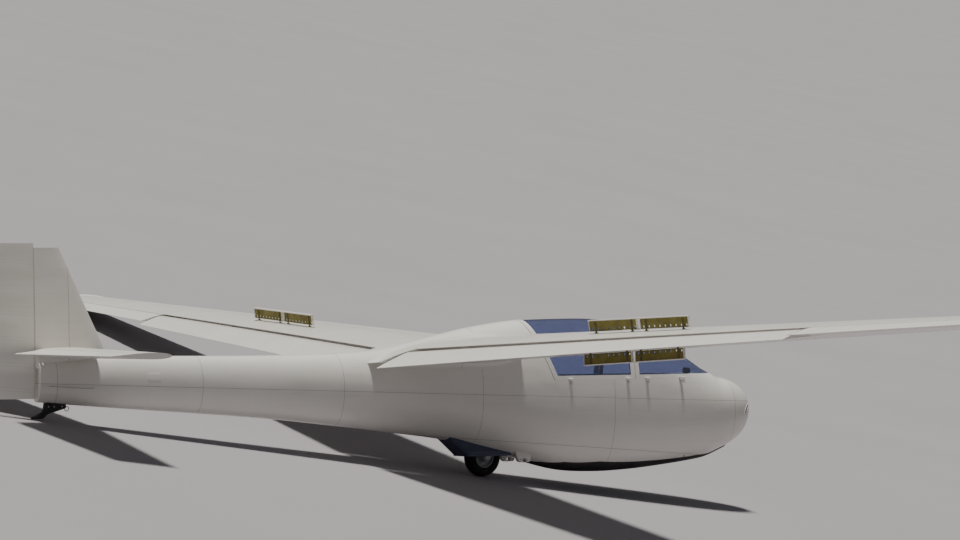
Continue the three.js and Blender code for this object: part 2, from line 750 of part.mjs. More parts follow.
function elevator() {
  const { elevatorHinge: hinge, height } = TAIL;
  const share = ELEVATOR_ROOT / TAIL.halfSpan;
  const inner = {
    nose: TAILPLANE_ROOT.nose + (TAILPLANE_TIP.nose - TAILPLANE_ROOT.nose) * share,
    tail: TAILPLANE_ROOT.tail + (TAILPLANE_TIP.tail - TAILPLANE_ROOT.tail) * share,
  };
  const half = loft([{ y: ELEVATOR_ROOT, ...inner }, { y: TAIL.halfSpan, ...TAILPLANE_TIP }].map((row) => {
    const outline = controlOutline(row, hinge, TAIL_THICKNESS.plane);
    return outline.map(([x, w]) => new THREE.Vector3(x, row.y, height + w));
  }));
  const { front, rear, frontHalf, rearHalf } = RUDDER_ROOM;
  const corners = [[front, 0], [front, frontHalf], [rear, rearHalf], [rear, 0]];
  const wedge = loft([height - 100, height + 100].map((z) => {
    return corners.map(([x, y]) => new THREE.Vector3(x, y, z));
  }));
  const side = TONGUE.width / 2 + SEAT;
  const slots = ELEVATOR_HINGES.filter((y) => y > 0).map((y) => {
    return block(hinge - TONGUE.behind - RUNNING, hinge + 80, y - side, y + side, height - 80, height + 80);
  });
  const starboard = mirrored(cut(half, [wedge, ...slots]));
  const ends = [-90, 90].map((y) => new THREE.Vector3(hinge, y, height));
  const tube = bar(ends[0], ends[1], ELEVATOR_TUBE);
  return join([cut(half, [wedge, ...slots]), starboard, tube]);
}

const RUDDER_HINGES = [880, 1480, 1980];

function rudderTongues() {
  const hinge = TAIL.rudderHinge;
  const side = TONGUE.width / 2;
  return RUDDER_HINGES.map((z) => block(hinge - TONGUE.behind, hinge + 85, -9, 9, z - side, z + side));
}

// What the fin leaves free: the bay of the tailplane, and the end of the boom behind it
const FIN_FOOT = { bayFront: -4040, bayRear: -4625, front: -4600, rear: -4800, low: 900, high: 1113 };

function fin() {
  const rings = FIN.map((row) => {
    const outline = tailOutline(row, TAIL.rudderHinge, TAIL_THICKNESS.fin);
    return outline.map(([x, w]) => new THREE.Vector3(x, w, row.z));
  });
  const body = loft(rings);
  const { bayFront, bayRear, front, rear, low, high } = FIN_FOOT;
  const under = block(bayRear, bayFront, -120, 120, low, TAIL.height);
  const foot = block(rear, front, -120, 120, low, high);
  const tubeHole = bar(
    new THREE.Vector3(TAIL.elevatorHinge, -200, TAIL.height),
    new THREE.Vector3(TAIL.elevatorHinge, 200, TAIL.height),
    ELEVATOR_TUBE + RUNNING,
  );
  const shaped = cut(body, [under, foot, clearOfSkin, tailplane(SEAT), tubeHole]);
  return join([shaped, ...rudderTongues().slice(1)]);
}

function rudder() {
  const rows = [
    { z: 775, nose: FIN[0].nose, tail: -5200 },
    FIN[0],
    FIN[1],
    { z: 2125, nose: -4480, tail: -5080 },
  ];
  const rings = rows.map((row) => {
    const outline = controlOutline(row, TAIL.rudderHinge, TAIL_THICKNESS.fin);
    return outline.map(([x, w]) => new THREE.Vector3(x, w, row.z));
  });
  const side = TONGUE.width / 2 + SEAT;
  const slots = RUDDER_HINGES.map((z) => {
    const hinge = TAIL.rudderHinge;
    return block(hinge - TONGUE.behind - RUNNING, hinge + 80, -80, 80, z - side, z + side);
  });
  return cut(loft(rings), slots);
}

// Undercarriage
function tyre() {
  const { radius, width, rim } = WHEEL;
  const half = width / 2;
  const profile = [
    [rim, -half * 0.72], [rim + 26, -half], [radius - 28, -half * 0.96], [radius - 8, -half * 0.66],
    [radius, -half * 0.25], [radius, half * 0.25], [radius - 8, half * 0.66], [radius - 28, half * 0.96],
    [rim + 26, half], [rim, half * 0.72], [rim, -half * 0.72],
  ];
  const body = geometryOf(lathe(profile, WHEEL.sides, true));
  body.translate(0, 0, radius);
  return solid(body);
}

function wheelHub() {
  const { radius, width, rim, axle } = WHEEL;
  const half = width / 2;
  const bore = axle + SEAT;
  const profile = [
    [bore, -half - 4], [36, -half - 4], [40, -22], [rim - 14, -18], [rim - 10, -half * 0.7],
    [rim - SEAT, -half * 0.7], [rim - SEAT, half * 0.7], [rim - 10, half * 0.7], [rim - 14, 18],
    [40, 22], [36, half + 4], [bore, half + 4], [bore, -half - 4],
  ];
  const body = geometryOf(lathe(profile, WHEEL.sides, true));
  body.translate(0, 0, radius);
  return solid(body);
}

function wheelLeg() {
  const { radius, axle, width } = WHEEL;
  const side = width / 2 + 8;
  const pin = bar(new THREE.Vector3(0, -side - 16, radius), new THREE.Vector3(0, side + 16, radius), axle, 16);
  const outline = [[-34, 205], [-34, 150], [0, 136], [34, 150], [190, 330], [190, 404.7], [120, 404.7]];
  const arms = [-1, 1].map((hand) => {
    const y0 = hand < 0 ? -side - 12 : side;
    return loft([y0, y0 + 12].map((y) => outline.map(([x, z]) => new THREE.Vector3(x, y, z))));
  });
  const head = block(130, 190, -side, side, 385, 404.7);
  return join([pin, ...arms, head]);
}

const FAIRING = { front: 250, rear: -430, half: 116, wall: 10, low: 186 };

function wheelFairing() {
  const { front, rear, half, wall, low } = FAIRING;
  const side = [[front, low], [front, 460], [rear, 460], [rear, 350], [-235, low]];
  const shape = loft([-half, half].map((y) => side.map(([x, z]) => new THREE.Vector3(x, y, z))));
  const room = block(WELL.rear, front + 40, -half + wall, half - wall, 0, 600);
  return cut(shape, [room, clearOfSkin]);
}

// A wear plate under the front of the belly: its half width at places along it
const SKID_THICK = 11;
const BELLY_SKID = [
  { x: 2699, half: 70 },
  { x: 2330, half: 131 },
  { x: 1755, half: 166 },
  { x: 1190, half: 189 },
  { x: 800, half: 165 },
  { x: 575, half: 101 },
  { x: 500, half: 62 },
  { x: 430, half: 14 },
];

function bellySkid() {
  const port = BELLY_SKID.map(({ x, half }) => [x, half]);
  const starboard = BELLY_SKID.map(({ x, half }) => [x, -half]).reverse();
  const edge = [...port, ...starboard];
  const plan = loft([-50, 350].map((z) => edge.map(([x, y]) => new THREE.Vector3(x, y, z))));
  return form(-SKID_THICK).subtract(clearOfSkin).intersect(plan);
}

function tailSkid() {
  const side = [
    [-4380, 800], [-4380, 690], [-4560, 640], [-4600, 606], [-4700, 596], [-4712, 612],
    [-4640, 640], [-4590, 668], [-4570, 800],
  ];
  const shape = loft([-24, 24].map((y) => side.map(([x, z]) => new THREE.Vector3(x, y, z))));
  return shape.subtract(clearOfSkin);
}

// Side view of a tow hook's housing, and how far it spreads from the middle
const TOW_HOOK = {
  side: [[268, 230], [300, 142], [328, 124], [412, 124], [436, 150], [440, 230]],
  near: 108,
  far: 152,
};

function towHook() {
  const { side, near, far } = TOW_HOOK;
  const body = loft([near, far].map((y) => side.map(([x, z]) => new THREE.Vector3(x, y, z))));
  const mouth = block(350, 384, near - 10, far + 10, 110, 158);
  return body.subtract(mouth);
}

// Cockpit
const room = slice(form(COCKPIT_WALL + SEAT), NOSE_JOINT, 300);
const roomAhead = room.intersect(bulkheadBlock(COCKPIT_WALL + SEAT, true));

function cockpitFloor() {
  return block(900, 2560, -400, 400, 128, 140).intersect(roomAhead);
}

const SEAT_PLAN = [
  { name: "front", foot: 1760 },
  { name: "rear", foot: 1030 },
];

// A plate bent to a side view, as wide as twice half
function bent(side, half) {
  return loft([-half, half].map((y) => side.map(([x, z]) => new THREE.Vector3(x, y, z))));
}

function seatBucket(foot) {
  const side = [
    [foot + 420, 140.3], [foot + 420, 235], [foot, 195], [foot - 235, 735], [foot - 262, 723],
    [foot - 22, 165], [foot + 398, 205], [foot + 398, 140.3],
  ];
  return bent(side, 210).intersect(roomAhead);
}

function seatCushion(foot) {
  const side = [
    [foot + 412, 234.8], [foot + 412, 268], [foot + 45, 250], [foot - 168, 740], [foot - 212, 722],
    [foot + 12, 197],
  ];
  return bent(side, 195).intersect(roomAhead);
}

const PANELS = [
  { name: "front_panel", x: 2290, low: 470, high: 862 },
  { name: "rear_panel", x: 1445, low: 560, high: 862 },
];

function panel({ x, low, high }) {
  return block(x, x + 18, -400, 400, low, high).intersect(roomAhead);
}

const STICKS = [
  { name: "front_stick", foot: 2240 },
  { name: "rear_stick", foot: 1480 },
];

function stick(foot) {
  const base = new THREE.Vector3(foot, 0, 140.3);
  const lower = block(foot - 25, foot + 25, -25, 25, 140.3, 165);
  const top = new THREE.Vector3(foot - 40, 0, 520);
  return join([lower, bar(base.setZ(150), top, 11)]);
}

// The assembly
const fuselageTub = cockpitTub();
const ears = join(HOODS.flatMap(hoodHingeEars));
add("nose_cap", noseCap(), "skin");
add("cockpit_tub", fuselageTub.add(ears.subtract(room)), "skin");
add("centre_fuselage", centreFuselage(), "skin");
add("dorsal_fairing", dorsalFairing(), "skin");
add("tail_boom", tailBoom().add(rudderTongues()[0]), "skin");
add("fin", fin(), "skin");
add("tailplane", tailplane(), "skin");
add("rudder", rudder(), "surface");
add("elevator", elevator(), "surface");

// Each piece is made for the port side and mirrored, then trimmed to the fuselage's skin
const pairs = [
  ["wing", wing(), "skin"],
  ["tip_body", tipBody(), "skin"],
  ["aileron", aileron(), "surface"],
  ["flap", flap(), "surface"],
  ["upper_brake", brake(upperBrake), "primer"],
  ["lower_brake", brake(lowerBrake), "primer"],
  ["tow_hook", towHook(), "frame"],
];
for (const [name, port, finish] of pairs) {
  add(`${name}_port`, port.subtract(clearOfSkin), finish);
  add(`${name}_starboard`, mirrored(port).subtract(clearOfSkin), finish);
}

for (const hood of HOODS) {
  add(`${hood.name}_hood_frame`, hoodFrame(hood), "frame");
  add(`${hood.name}_hood_glass`, hoodGlass(hood), "glazing");
}

add("cockpit_floor", cockpitFloor(), "interior");
for (const { name, foot } of SEAT_PLAN) {
  add(`${name}_seat`, seatBucket(foot), "interior");
  add(`${name}_cushion`, seatCushion(foot), "leather");
}
for (const board of PANELS) {
  add(board.name, panel(board), "panel");
}
for (const { name, foot } of STICKS) {
  add(name, stick(foot), "steel");
}

add("main_tyre", tyre(), "rubber");
add("wheel_hub", wheelHub(), "steel");
add("wheel_leg", wheelLeg(), "steel");
add("wheel_fairing", wheelFairing(), "fairing");
add("belly_skid", bellySkid(), "skid");
add("tail_skid", tailSkid(), "skid");

// Lowest point of one mesh under a turn
function lowest(name, turn) {
  const spots = level.getObjectByName(name).geometry.attributes.position;
  const point = new THREE.Vector3();
  let low = Infinity;
  for (let i = 0; i < spots.count; i += 1) {
    low = Math.min(low, point.fromBufferAttribute(spots, i).applyQuaternion(turn).z);
  }
  return low;
}

// The attitude in which tyre, tail skid and port tip body all touch the ground, found step by step
const SKID_ARM = 4650;

function parkedTurn() {
  let pitch = 0;
  let roll = 0;
  const turn = new THREE.Quaternion();
  for (let round = 0; round < 40; round += 1) {
    turn.setFromEuler(new THREE.Euler(roll, pitch, 0, "XYZ"));
    const ground = lowest("main_tyre", turn);
    pitch -= (lowest("tail_skid", turn) - ground) / SKID_ARM;
    roll -= (lowest("tip_body_port", turn) - ground) / TIP_BODY.y;
  }
  return turn;
}

level.quaternion.copy(parkedTurn());
level.updateMatrixWorld(true);
const span = new THREE.Box3().setFromObject(level, true);
const centre = span.getCenter(new THREE.Vector3());
level.position.set(-centre.x, -centre.y, -span.min.z);
level.updateMatrixWorld(true);

// Hinge lines and slide directions of the moving pieces, in the level machine's own axes
level.userData.lines = {
  flap_port: [flapFrom, flapTo],
  aileron_port: [aileronFrom, aileronTo],
  upper_brake_port: upperBrake.elements,
  lower_brake_port: lowerBrake.elements,
};

const glider = new THREE.Group();
glider.add(level);
export default glider;
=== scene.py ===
"""A two-seat training sailplane of riveted sheet metal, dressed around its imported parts.

Every piece is drawn on the level machine, X forward, Y to port and Z up from the main wheel's
contact point, and then turned into the parked attitude. Lengths are in metres."""
import json
import math

import bmesh
import bpy
from mathutils import Matrix, Vector


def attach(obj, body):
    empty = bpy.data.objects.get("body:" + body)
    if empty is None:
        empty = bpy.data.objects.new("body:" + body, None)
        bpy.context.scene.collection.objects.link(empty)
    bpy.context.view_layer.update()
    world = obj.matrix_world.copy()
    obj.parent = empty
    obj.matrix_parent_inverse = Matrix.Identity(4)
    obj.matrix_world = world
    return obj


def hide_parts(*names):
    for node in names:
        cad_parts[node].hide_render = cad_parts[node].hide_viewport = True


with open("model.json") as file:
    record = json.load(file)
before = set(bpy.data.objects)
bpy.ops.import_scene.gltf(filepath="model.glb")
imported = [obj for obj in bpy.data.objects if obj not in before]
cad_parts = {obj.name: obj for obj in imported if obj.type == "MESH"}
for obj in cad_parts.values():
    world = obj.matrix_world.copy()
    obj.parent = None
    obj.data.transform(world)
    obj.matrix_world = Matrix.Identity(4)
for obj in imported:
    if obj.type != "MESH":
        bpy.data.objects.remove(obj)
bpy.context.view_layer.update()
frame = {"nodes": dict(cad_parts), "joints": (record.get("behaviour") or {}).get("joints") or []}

# Axes of the level machine, read from the wheel's and the rudder's joints
WHEEL_RADIUS = 0.175
JOINTS = {joint["name"]: joint for joint in frame["joints"]}
PORT = Vector(JOINTS["main_wheel_spin"]["axis"]).normalized()
UP = Vector(JOINTS["rudder_hinge"]["axis"]).normalized()
FORWARD = PORT.cross(UP)
GROUND = Vector(JOINTS["main_wheel_spin"]["pos_m"]) - WHEEL_RADIUS * UP
LEVEL = Matrix.Translation(GROUND) @ Matrix((FORWARD, PORT, UP)).transposed().to_4x4()

# Fuselage sections: place, keel, crown, half width and height of the widest line
FUSELAGE = (
    (2.978, 0.560, 0.590, 0.014, 0.575),
    (2.950, 0.440, 0.690, 0.103, 0.571),
    (2.884, 0.336, 0.776, 0.160, 0.564),
    (2.755, 0.252, 0.845, 0.215, 0.560),
    (2.575, 0.178, 0.886, 0.260, 0.560),
    (2.500, 0.150, 0.928, 0.273, 0.560),
    (2.400, 0.126, 0.976, 0.288, 0.560),
    (2.050, 0.082, 1.180, 0.313, 0.565),
    (1.600, 0.042, 1.388, 0.325, 0.580),
    (1.200, 0.030, 1.430, 0.325, 0.600),
    (0.800, 0.056, 1.434, 0.322, 0.620),
    (0.350, 0.160, 1.420, 0.312, 0.670),
    (-0.100, 0.262, 1.366, 0.297, 0.720),
    (-0.460, 0.345, 1.300, 0.280, 0.760),
    (-1.000, 0.415, 1.190, 0.248, 0.790),
    (-1.450, 0.468, 1.144, 0.216, 0.805),
    (-2.400, 0.570, 1.126, 0.168, 0.848),
    (-4.000, 0.690, 1.135, 0.118, 0.912),
    (-4.665, 0.745, 1.110, 0.078, 0.930),
)
ROUNDNESS = 2.2
SKIN_SIDES = 120
WALL = 0.030
NOSE_JOINT = 2.700
BOOM_JOINT = -1.450
SILL = 0.870
DECK_EDGE = 2.575
HOOD_SPLIT = 1.500
BULKHEAD_FOOT = Vector((0.580, 0, 0.900))
BULKHEAD_LEAN = math.radians(22.9)
BULKHEAD_NORMAL = Vector((math.cos(BULKHEAD_LEAN), 0, math.sin(BULKHEAD_LEAN)))
SPINE_FOOT = Vector((0, 0, 1.215))
SPINE_NORMAL = Vector((-0.045, 0, 1)).normalized()
WELL = {"front": 0.255, "rear": -0.235, "half": 0.100, "top": 0.405}

# Wing
NOSE = 0.216
SWEEP = 0.061
WING_HEIGHT = 1.135
DIHEDRAL = math.tan(math.radians(2.8))
ROOT_CHORD = 1.600
TAPER = 0.111
ROOT_SET = math.radians(3.5)
TIP_SET = math.radians(1.0)
ROOT_THICKNESS = 0.15
TIP_THICKNESS = 0.12
CAMBER = 0.03
CAMBER_PLACE = 0.45
WING_END = 7.990
FLAP = {"inner": 0.330, "outer": 5.225, "bay_in": 0.324, "bay_out": 5.243, "droop": math.radians(6)}
FLAP_PIVOT = (0.70, -0.30)
FLAP_ARMS = (0.650, 2.050, 3.800, 5.050)
FLAP_RAKE = -0.139
FLAP_SLOT = 0.013
FLAP_SLOT_DEPTH = 0.047
COVE_FRONT = 0.655
COVE_LIP = 0.745
AILERON = {"inner": 5.262, "outer": 7.955, "bay_in": 5.256, "hinge": 0.765, "front": 0.722, "shroud": 0.752}
BRAKE = {"inner": 2.250, "outer": 3.540, "upper": 0.54, "lower": 0.595, "plate": 0.096, "out": 0.122}
BRAKE_MOUTH = 0.023
BRAKE_SLOT = 0.016
BRAKE_RECESS = 0.010
BRAKE_DEPTH = 0.119
TIP_BODY = {"y": 8.035, "radius": 0.065, "front": 0.800, "rear": -0.130}
SIDES = {"port": 1, "starboard": -1}


# Shader arithmetic
class Signal:
    """A number or colour on its way through a material, which plain arithmetic can change."""

    def __init__(self, finish, socket):
        self.finish = finish
        self.socket = socket

    def _math(self, operation, first, second=None):
        values = [first] if second is None else [first, second]
        return self.finish.node("ShaderNodeMath", {"operation": operation}, values)

    def __add__(self, other):
        return self._math("ADD", self, other)

    def __sub__(self, other):
        return self._math("SUBTRACT", self, other)

    def __rsub__(self, other):
        return self._math("SUBTRACT", other, self)

    def __mul__(self, other):
        return self._math("MULTIPLY", self, other)

    def __truediv__(self, other):
        return self._math("DIVIDE", self, other)

    def __rtruediv__(self, other):
        return self._math("DIVIDE", other, self)

    def __pow__(self, other):
        return self._math("POWER", self, other)

    def __lt__(self, other):
        return self._math("LESS_THAN", self, other)

    def __gt__(self, other):
        return self._math("GREATER_THAN", self, other)

    def __abs__(self):
        return self._math("ABSOLUTE", self)

    def fold(self, pitch):
        """Distance to the nearest multiple of pitch."""
        return self._math("PINGPONG", self, pitch / 2)

    def least(self, other):
        return self._math("MINIMUM", self, other)

    def most(self, other):
        return self._math("MAXIMUM", self, other)

    __radd__ = __add__
    __rmul__ = __mul__


class Finish:
    """A material made of nodes around one Principled shader."""

    def __init__(self, name, **constants):
        self.material = bpy.data.materials.new(name)
        self.material.use_nodes = True
        self.tree = self.material.node_tree
        self.shader = self.tree.nodes["Principled BSDF"]
        for socket, value in constants.items():
            self.shader.inputs[socket.replace("_", " ")].default_value = value

    def node(self, kind, settings=None, values=(), output=0, **named):
        """A node of this type, its settings made first; values go to its sockets in order."""
        made = self.tree.nodes.new(kind)
        for key, value in (settings or {}).items():
            if key == "stops":
                self.fill_ramp(made.color_ramp, value)
            else:
                setattr(made, key, value)
        for place, value in [*enumerate(values), *named.items()]:
            self.feed(made.inputs[place.replace("_", " ") if isinstance(place, str) else place], value)
        return Signal(self, made.outputs[output])

    def fill_ramp(self, ramp, stops):
        for place, shade in stops[2:]:
            ramp.elements.new(place).color = shade
        for element, (place, shade) in zip(sorted(ramp.elements, key=lambda e: e.position), sorted(stops)):
            element.position = place
            element.color = shade

    def feed(self, socket, value):
        if isinstance(value, Signal):
            self.tree.links.new(value.socket, socket)
        elif value is not None:
            socket.default_value = value

    def dress(self, colour, roughness, normal=None):
        """Gives the shader what varies over the surface, and hands the material back."""
        for socket, value in (("Base Color", colour), ("Roughness", roughness), ("Normal", normal)):
            self.feed(self.shader.inputs[socket], value)
        return self.material

    def mix(self, share, first, second):
        """Two colours mixed by a share."""
        made = self.tree.nodes.new("ShaderNodeMix")
        made.data_type = "RGBA"
        self.feed(made.inputs[0], share)
        self.feed(made.inputs[6], first)
        self.feed(made.inputs[7], second)
        return Signal(self, made.outputs[2])

    def bump(self, height, depth, under=None):
        """A normal shaped by a height from 0 to 1, depth metres tall."""
        named = {"Strength": 1.0, "Distance": depth, "Height": height, "Normal": under}
        return self.node("ShaderNodeBump", None, (), 0, **named)

    def ramp(self, share, low, high):
        """From 0 at low to 1 at high."""
        settings = {"clamp": True}
        return self.node("ShaderNodeMapRange", settings, (share, low, high, 0.0, 1.0))

    def noise(self, place, scale, detail=3.0, roughness=0.5):
        named = {"Vector": place, "Scale": scale, "Detail": detail, "Roughness": roughness}
        return self.node("ShaderNodeTexNoise", {"noise_dimensions": "3D"}, (), 0, **named)

    def machine_place(self):
        """Where a point of the surface lies on the level machine, as a vector."""
        place = self.node("ShaderNodeTexCoord", None, (), "Object")
        named = {"Vector": place, "Location": tuple(GROUND), "Rotation": tuple(LEVEL.to_euler())}
        return self.node("ShaderNodeMapping", {"vector_type": "TEXTURE"}, (), 0, **named)

    def parts_of(self, vector):
        made = self.tree.nodes.new("ShaderNodeSeparateXYZ")
        self.feed(made.inputs[0], vector)
        return [Signal(self, socket) for socket in made.outputs]

    def vector(self, x, y, z):
        return self.node("ShaderNodeCombineXYZ", None, (x, y, z))


def shade(red, green, blue):
    return (red, green, blue, 1.0)


# How the white sheet metal is put together
SEAM_HALF = 0.0011
RIVET_RADIUS = 0.0032
RIVET_PITCH = 0.030
FRAME_PITCH = 0.360
RIB_PITCH = 0.300
RIVET_LINES = (0.06, 0.385, 0.66)
RIVET_OFFSET = 0.011
SHEET_JOINT = 0.40
SIDE_SEAMS = ((0.745, -0.035), (0.330, -0.075))
COVER_BAY = 0.22


def line_mask(finish, distance, half):
    """1 on a line of this half width, fading to 0 just outside it."""
    return 1.0 - finish.ramp(distance, half, half * 2.0)


def rivet_row(finish, across, along):
    """Rivet heads where the distance across a row is small, at the rivets' pitch along it."""
    fold = along.fold(RIVET_PITCH)
    distance = (across * across + fold * fold) ** 0.5
    return 1.0 - finish.ramp(distance, RIVET_RADIUS * 0.5, RIVET_RADIUS)


def white_paint(name, lines, gloss=0.30, tint=shade(0.80, 0.785, 0.735), waviness=0.0011):
    """Aged white enamel over sheet metal, with seams and rivets given by lines(finish, x, y, z)."""
    finish = Finish(name, Metallic=0.0, Specular_IOR_Level=0.5, Coat_Weight=0.35, Coat_Roughness=0.12)
    place = finish.machine_place()
    x, y, z = finish.parts_of(place)
    seams, rivets = lines(finish, x, y, z)
    mottle = finish.noise(place, 1.3, 4.0, 0.6)
    grain = finish.noise(place, 38.0, 3.0, 0.6)
    streaks = finish.noise(finish.vector(x * 0.35, y * 3.0, z * 5.0), 4.0, 4.0, 0.65)
    aged = finish.mix(finish.ramp(mottle, 0.35, 0.75) * 0.55, tint, shade(0.72, 0.70, 0.635))
    stained = finish.mix(finish.ramp(streaks, 0.55, 0.85) * 0.30, aged, shade(0.56, 0.535, 0.48))
    lined = finish.mix(seams * 0.75, stained, shade(0.20, 0.19, 0.17))
    dotted = finish.mix(rivets * 0.30, lined, shade(0.42, 0.41, 0.38))
    rough = gloss + finish.ramp(streaks, 0.4, 0.9) * 0.16 + grain * 0.05
    buckles = finish.noise(finish.vector(x, y, z * 1.6), 3.2, 1.0, 0.4)
    wavy = finish.bump(buckles, waviness * 4.0)
    raised = finish.bump(rivets, 0.0007, wavy)
    return finish.dress(dotted, rough, finish.bump(1.0 - seams, 0.0012, raised))


def fuselage_lines(finish, x, y, z):
    """Frames every 360 mm, stringers along the sides and the joints between the sheets."""
    seams = line_mask(finish, (x + FRAME_PITCH / 2).fold(FRAME_PITCH * 4), SEAM_HALF)
    rivets = rivet_row(finish, x.fold(FRAME_PITCH), z + y)
    for height, slope in SIDE_SEAMS:
        distance = abs(z - (height + x * slope))
        seams = seams.most(line_mask(finish, distance, SEAM_HALF))
        rivets = rivets.most(rivet_row(finish, distance - RIVET_OFFSET, x))
    return seams, rivets


def wing_lines(finish, x, y, z):
    """Ribs every 300 mm, the spar's rivets and the joints between the skin sheets."""
    out = abs(y)
    chord = ROOT_CHORD - out * TAPER
    u = (NOSE + out * SWEEP - x) / chord
    ribs = out.fold(RIB_PITCH)
    seams = line_mask(finish, (out - 0.75).fold(RIB_PITCH * 5), SEAM_HALF)
    rivets = rivet_row(finish, ribs, x)
    for place in RIVET_LINES:
        rivets = rivets.most(rivet_row(finish, abs(u - place) * chord, y))
    return seams.most(line_mask(finish, abs(u - SHEET_JOINT) * chord, SEAM_HALF)), rivets


def tail_lines(finish, x, y, z):
    """Ribs across the fixed tail surfaces."""
    ribs = (abs(y) + z * 0.35).fold(0.25)
    rivets = rivet_row(finish, ribs, x)
    seams = line_mask(finish, abs(x + 4.36), SEAM_HALF)
    return seams, rivets


def cover_lines(finish, x, y, z):
    """A doped fabric cover: stitched tapes over the ribs, and no rivets."""
    ribs = (abs(y) + z).fold(COVER_BAY)
    tapes = line_mask(finish, abs(ribs - 0.014), 0.0005)
    stitches = rivet_row(finish, ribs, x) * 0.5
    return tapes * 0.5, stitches


def plain_lines(finish, x, y, z):
    """No seams and no rivets."""
    return 0.0, 0.0


def primer_paint():
    """Yellow-green primer on the airbrake plates, rubbed and stained."""
    finish = Finish("primer paint", Metallic=0.0, Specular_IOR_Level=0.35)
    place = finish.machine_place()
    blotches = finish.noise(place, 9.0, 5.0, 0.65)
    scuffs = finish.noise(place, 60.0, 3.0, 0.7)
    base = finish.mix(finish.ramp(blotches, 0.35, 0.7), shade(0.135, 0.118, 0.022), shade(0.235, 0.205, 0.05))
    worn = finish.mix(finish.ramp(scuffs, 0.62, 0.8) * 0.5, base, shade(0.07, 0.062, 0.03))
    return finish.dress(worn, 0.52 + scuffs * 0.25, finish.bump(scuffs, 0.0004))


def clear_acrylic():
    """Blown acrylic glazing with a blue tint and light scratches."""
    finish = Finish("clear acrylic", Metallic=0.0, IOR=1.49, Transmission_Weight=0.96)
    place = finish.machine_place()
    scratches = finish.noise(place, 240.0, 2.0, 0.8)
    haze = finish.noise(place, 2.2, 3.0, 0.5)
    colour = finish.mix(haze * 0.5, shade(0.42, 0.47, 0.68), shade(0.48, 0.53, 0.72))
    return finish.dress(colour, 0.015 + finish.ramp(scratches, 0.6, 0.9) * 0.05, finish.bump(haze, 0.0006))


def cabin_paint(name, low, high, rough):
    """Flat cabin paint with rubbed patches."""
    finish = Finish(name, Metallic=0.0, Specular_IOR_Level=0.4)
    place = finish.machine_place()
    patches = finish.noise(place, 6.0, 4.0, 0.6)
    speckle = finish.noise(place, 150.0, 2.0, 0.6)
    colour = finish.mix(finish.ramp(patches, 0.3, 0.75), shade(*low), shade(*high))
    return finish.dress(colour, rough + speckle * 0.2, finish.bump(speckle, 0.0003))


def leathercloth():
    """Dark worn leathercloth with a pebbled grain."""
    finish = Finish("leathercloth", Metallic=0.0, Specular_IOR_Level=0.45, Sheen_Weight=0.15)
    place = finish.machine_place()
    pebbles = finish.node("ShaderNodeTexVoronoi", {"feature": "DISTANCE_TO_EDGE"}, (place,), 0, Scale=420.0)
    wear = finish.noise(place, 7.0, 4.0, 0.6)
    worn = finish.ramp(wear, 0.4, 0.75)
    colour = finish.mix(worn, shade(0.085, 0.052, 0.032), shade(0.17, 0.115, 0.075))
    return finish.dress(colour, 0.48 + wear * 0.3, finish.bump(finish.ramp(pebbles, 0.0, 0.08), 0.0005))


def bare_steel(name="bare steel", tint=shade(0.42, 0.43, 0.44), rough=0.32, metal=0.9):
    """Brushed or grey-painted steel with streaks and dull spots."""
    finish = Finish(name, Metallic=metal)
    place = finish.machine_place()
    x, y, z = finish.parts_of(place)
    brushed = finish.noise(finish.vector(x * 6.0, y * 120.0, z * 120.0), 4.0, 3.0, 0.6)
    dull = finish.noise(place, 14.0, 4.0, 0.6)
    spots = finish.ramp(dull, 0.45, 0.8) * 0.6
    colour = finish.mix(spots, tint, shade(0.20, 0.185, 0.165))
    return finish.dress(colour, rough + finish.ramp(dull, 0.4, 0.8) * 0.3, finish.bump(brushed, 0.0002))


def tyre_rubber():
    """Dusty black rubber."""
    finish = Finish("tyre rubber", Metallic=0.0, Specular_IOR_Level=0.35)
    place = finish.machine_place()
    dust = finish.noise(place, 11.0, 5.0, 0.6)
    fine = finish.noise(place, 170.0, 2.0, 0.6)
    dusty = finish.ramp(dust, 0.45, 0.85) * 0.5
    colour = finish.mix(dusty, shade(0.012, 0.012, 0.013), shade(0.075, 0.07, 0.065))
    return finish.dress(colour, 0.72 + dust * 0.2, finish.bump(fine, 0.0003))


def wear_plate_and_painted_shade():
    """Dark plate under the belly, scraped along its length; its near-black tone is partly the plate's own and
    partly painted shade under the belly.
    """
    finish = Finish("wear plate", Metallic=0.25, Specular_IOR_Level=0.4)
    place = finish.machine_place()
    x, y, z = finish.parts_of(place)
    scrapes = finish.noise(finish.vector(x * 1.5, y * 60.0, z * 60.0), 3.0, 4.0, 0.7)
    grime = finish.noise(place, 5.0, 4.0, 0.6)
    base = finish.mix(finish.ramp(grime, 0.3, 0.75), shade(0.016, 0.015, 0.015), shade(0.04, 0.037, 0.035))
    scraped = finish.ramp(scrapes, 0.62, 0.78) * 0.6
    colour = finish.mix(scraped, base, shade(0.16, 0.155, 0.15))
    return finish.dress(colour, 0.5 + grime * 0.25, finish.bump(scrapes, 0.0005))


def floor_paint():
    """Plain pale floor, with a very faint mottle."""
    finish = Finish("pale floor", Metallic=0.0, Specular_IOR_Level=0.2)
    mottle = finish.noise(finish.node("ShaderNodeTexCoord", None, (), "Object"), 0.4, 2.0, 0.5)
    colour = finish.mix(mottle, shade(0.315, 0.300, 0.320), shade(0.345, 0.328, 0.348))
    return finish.dress(colour, 0.85 + mottle * 0.1)


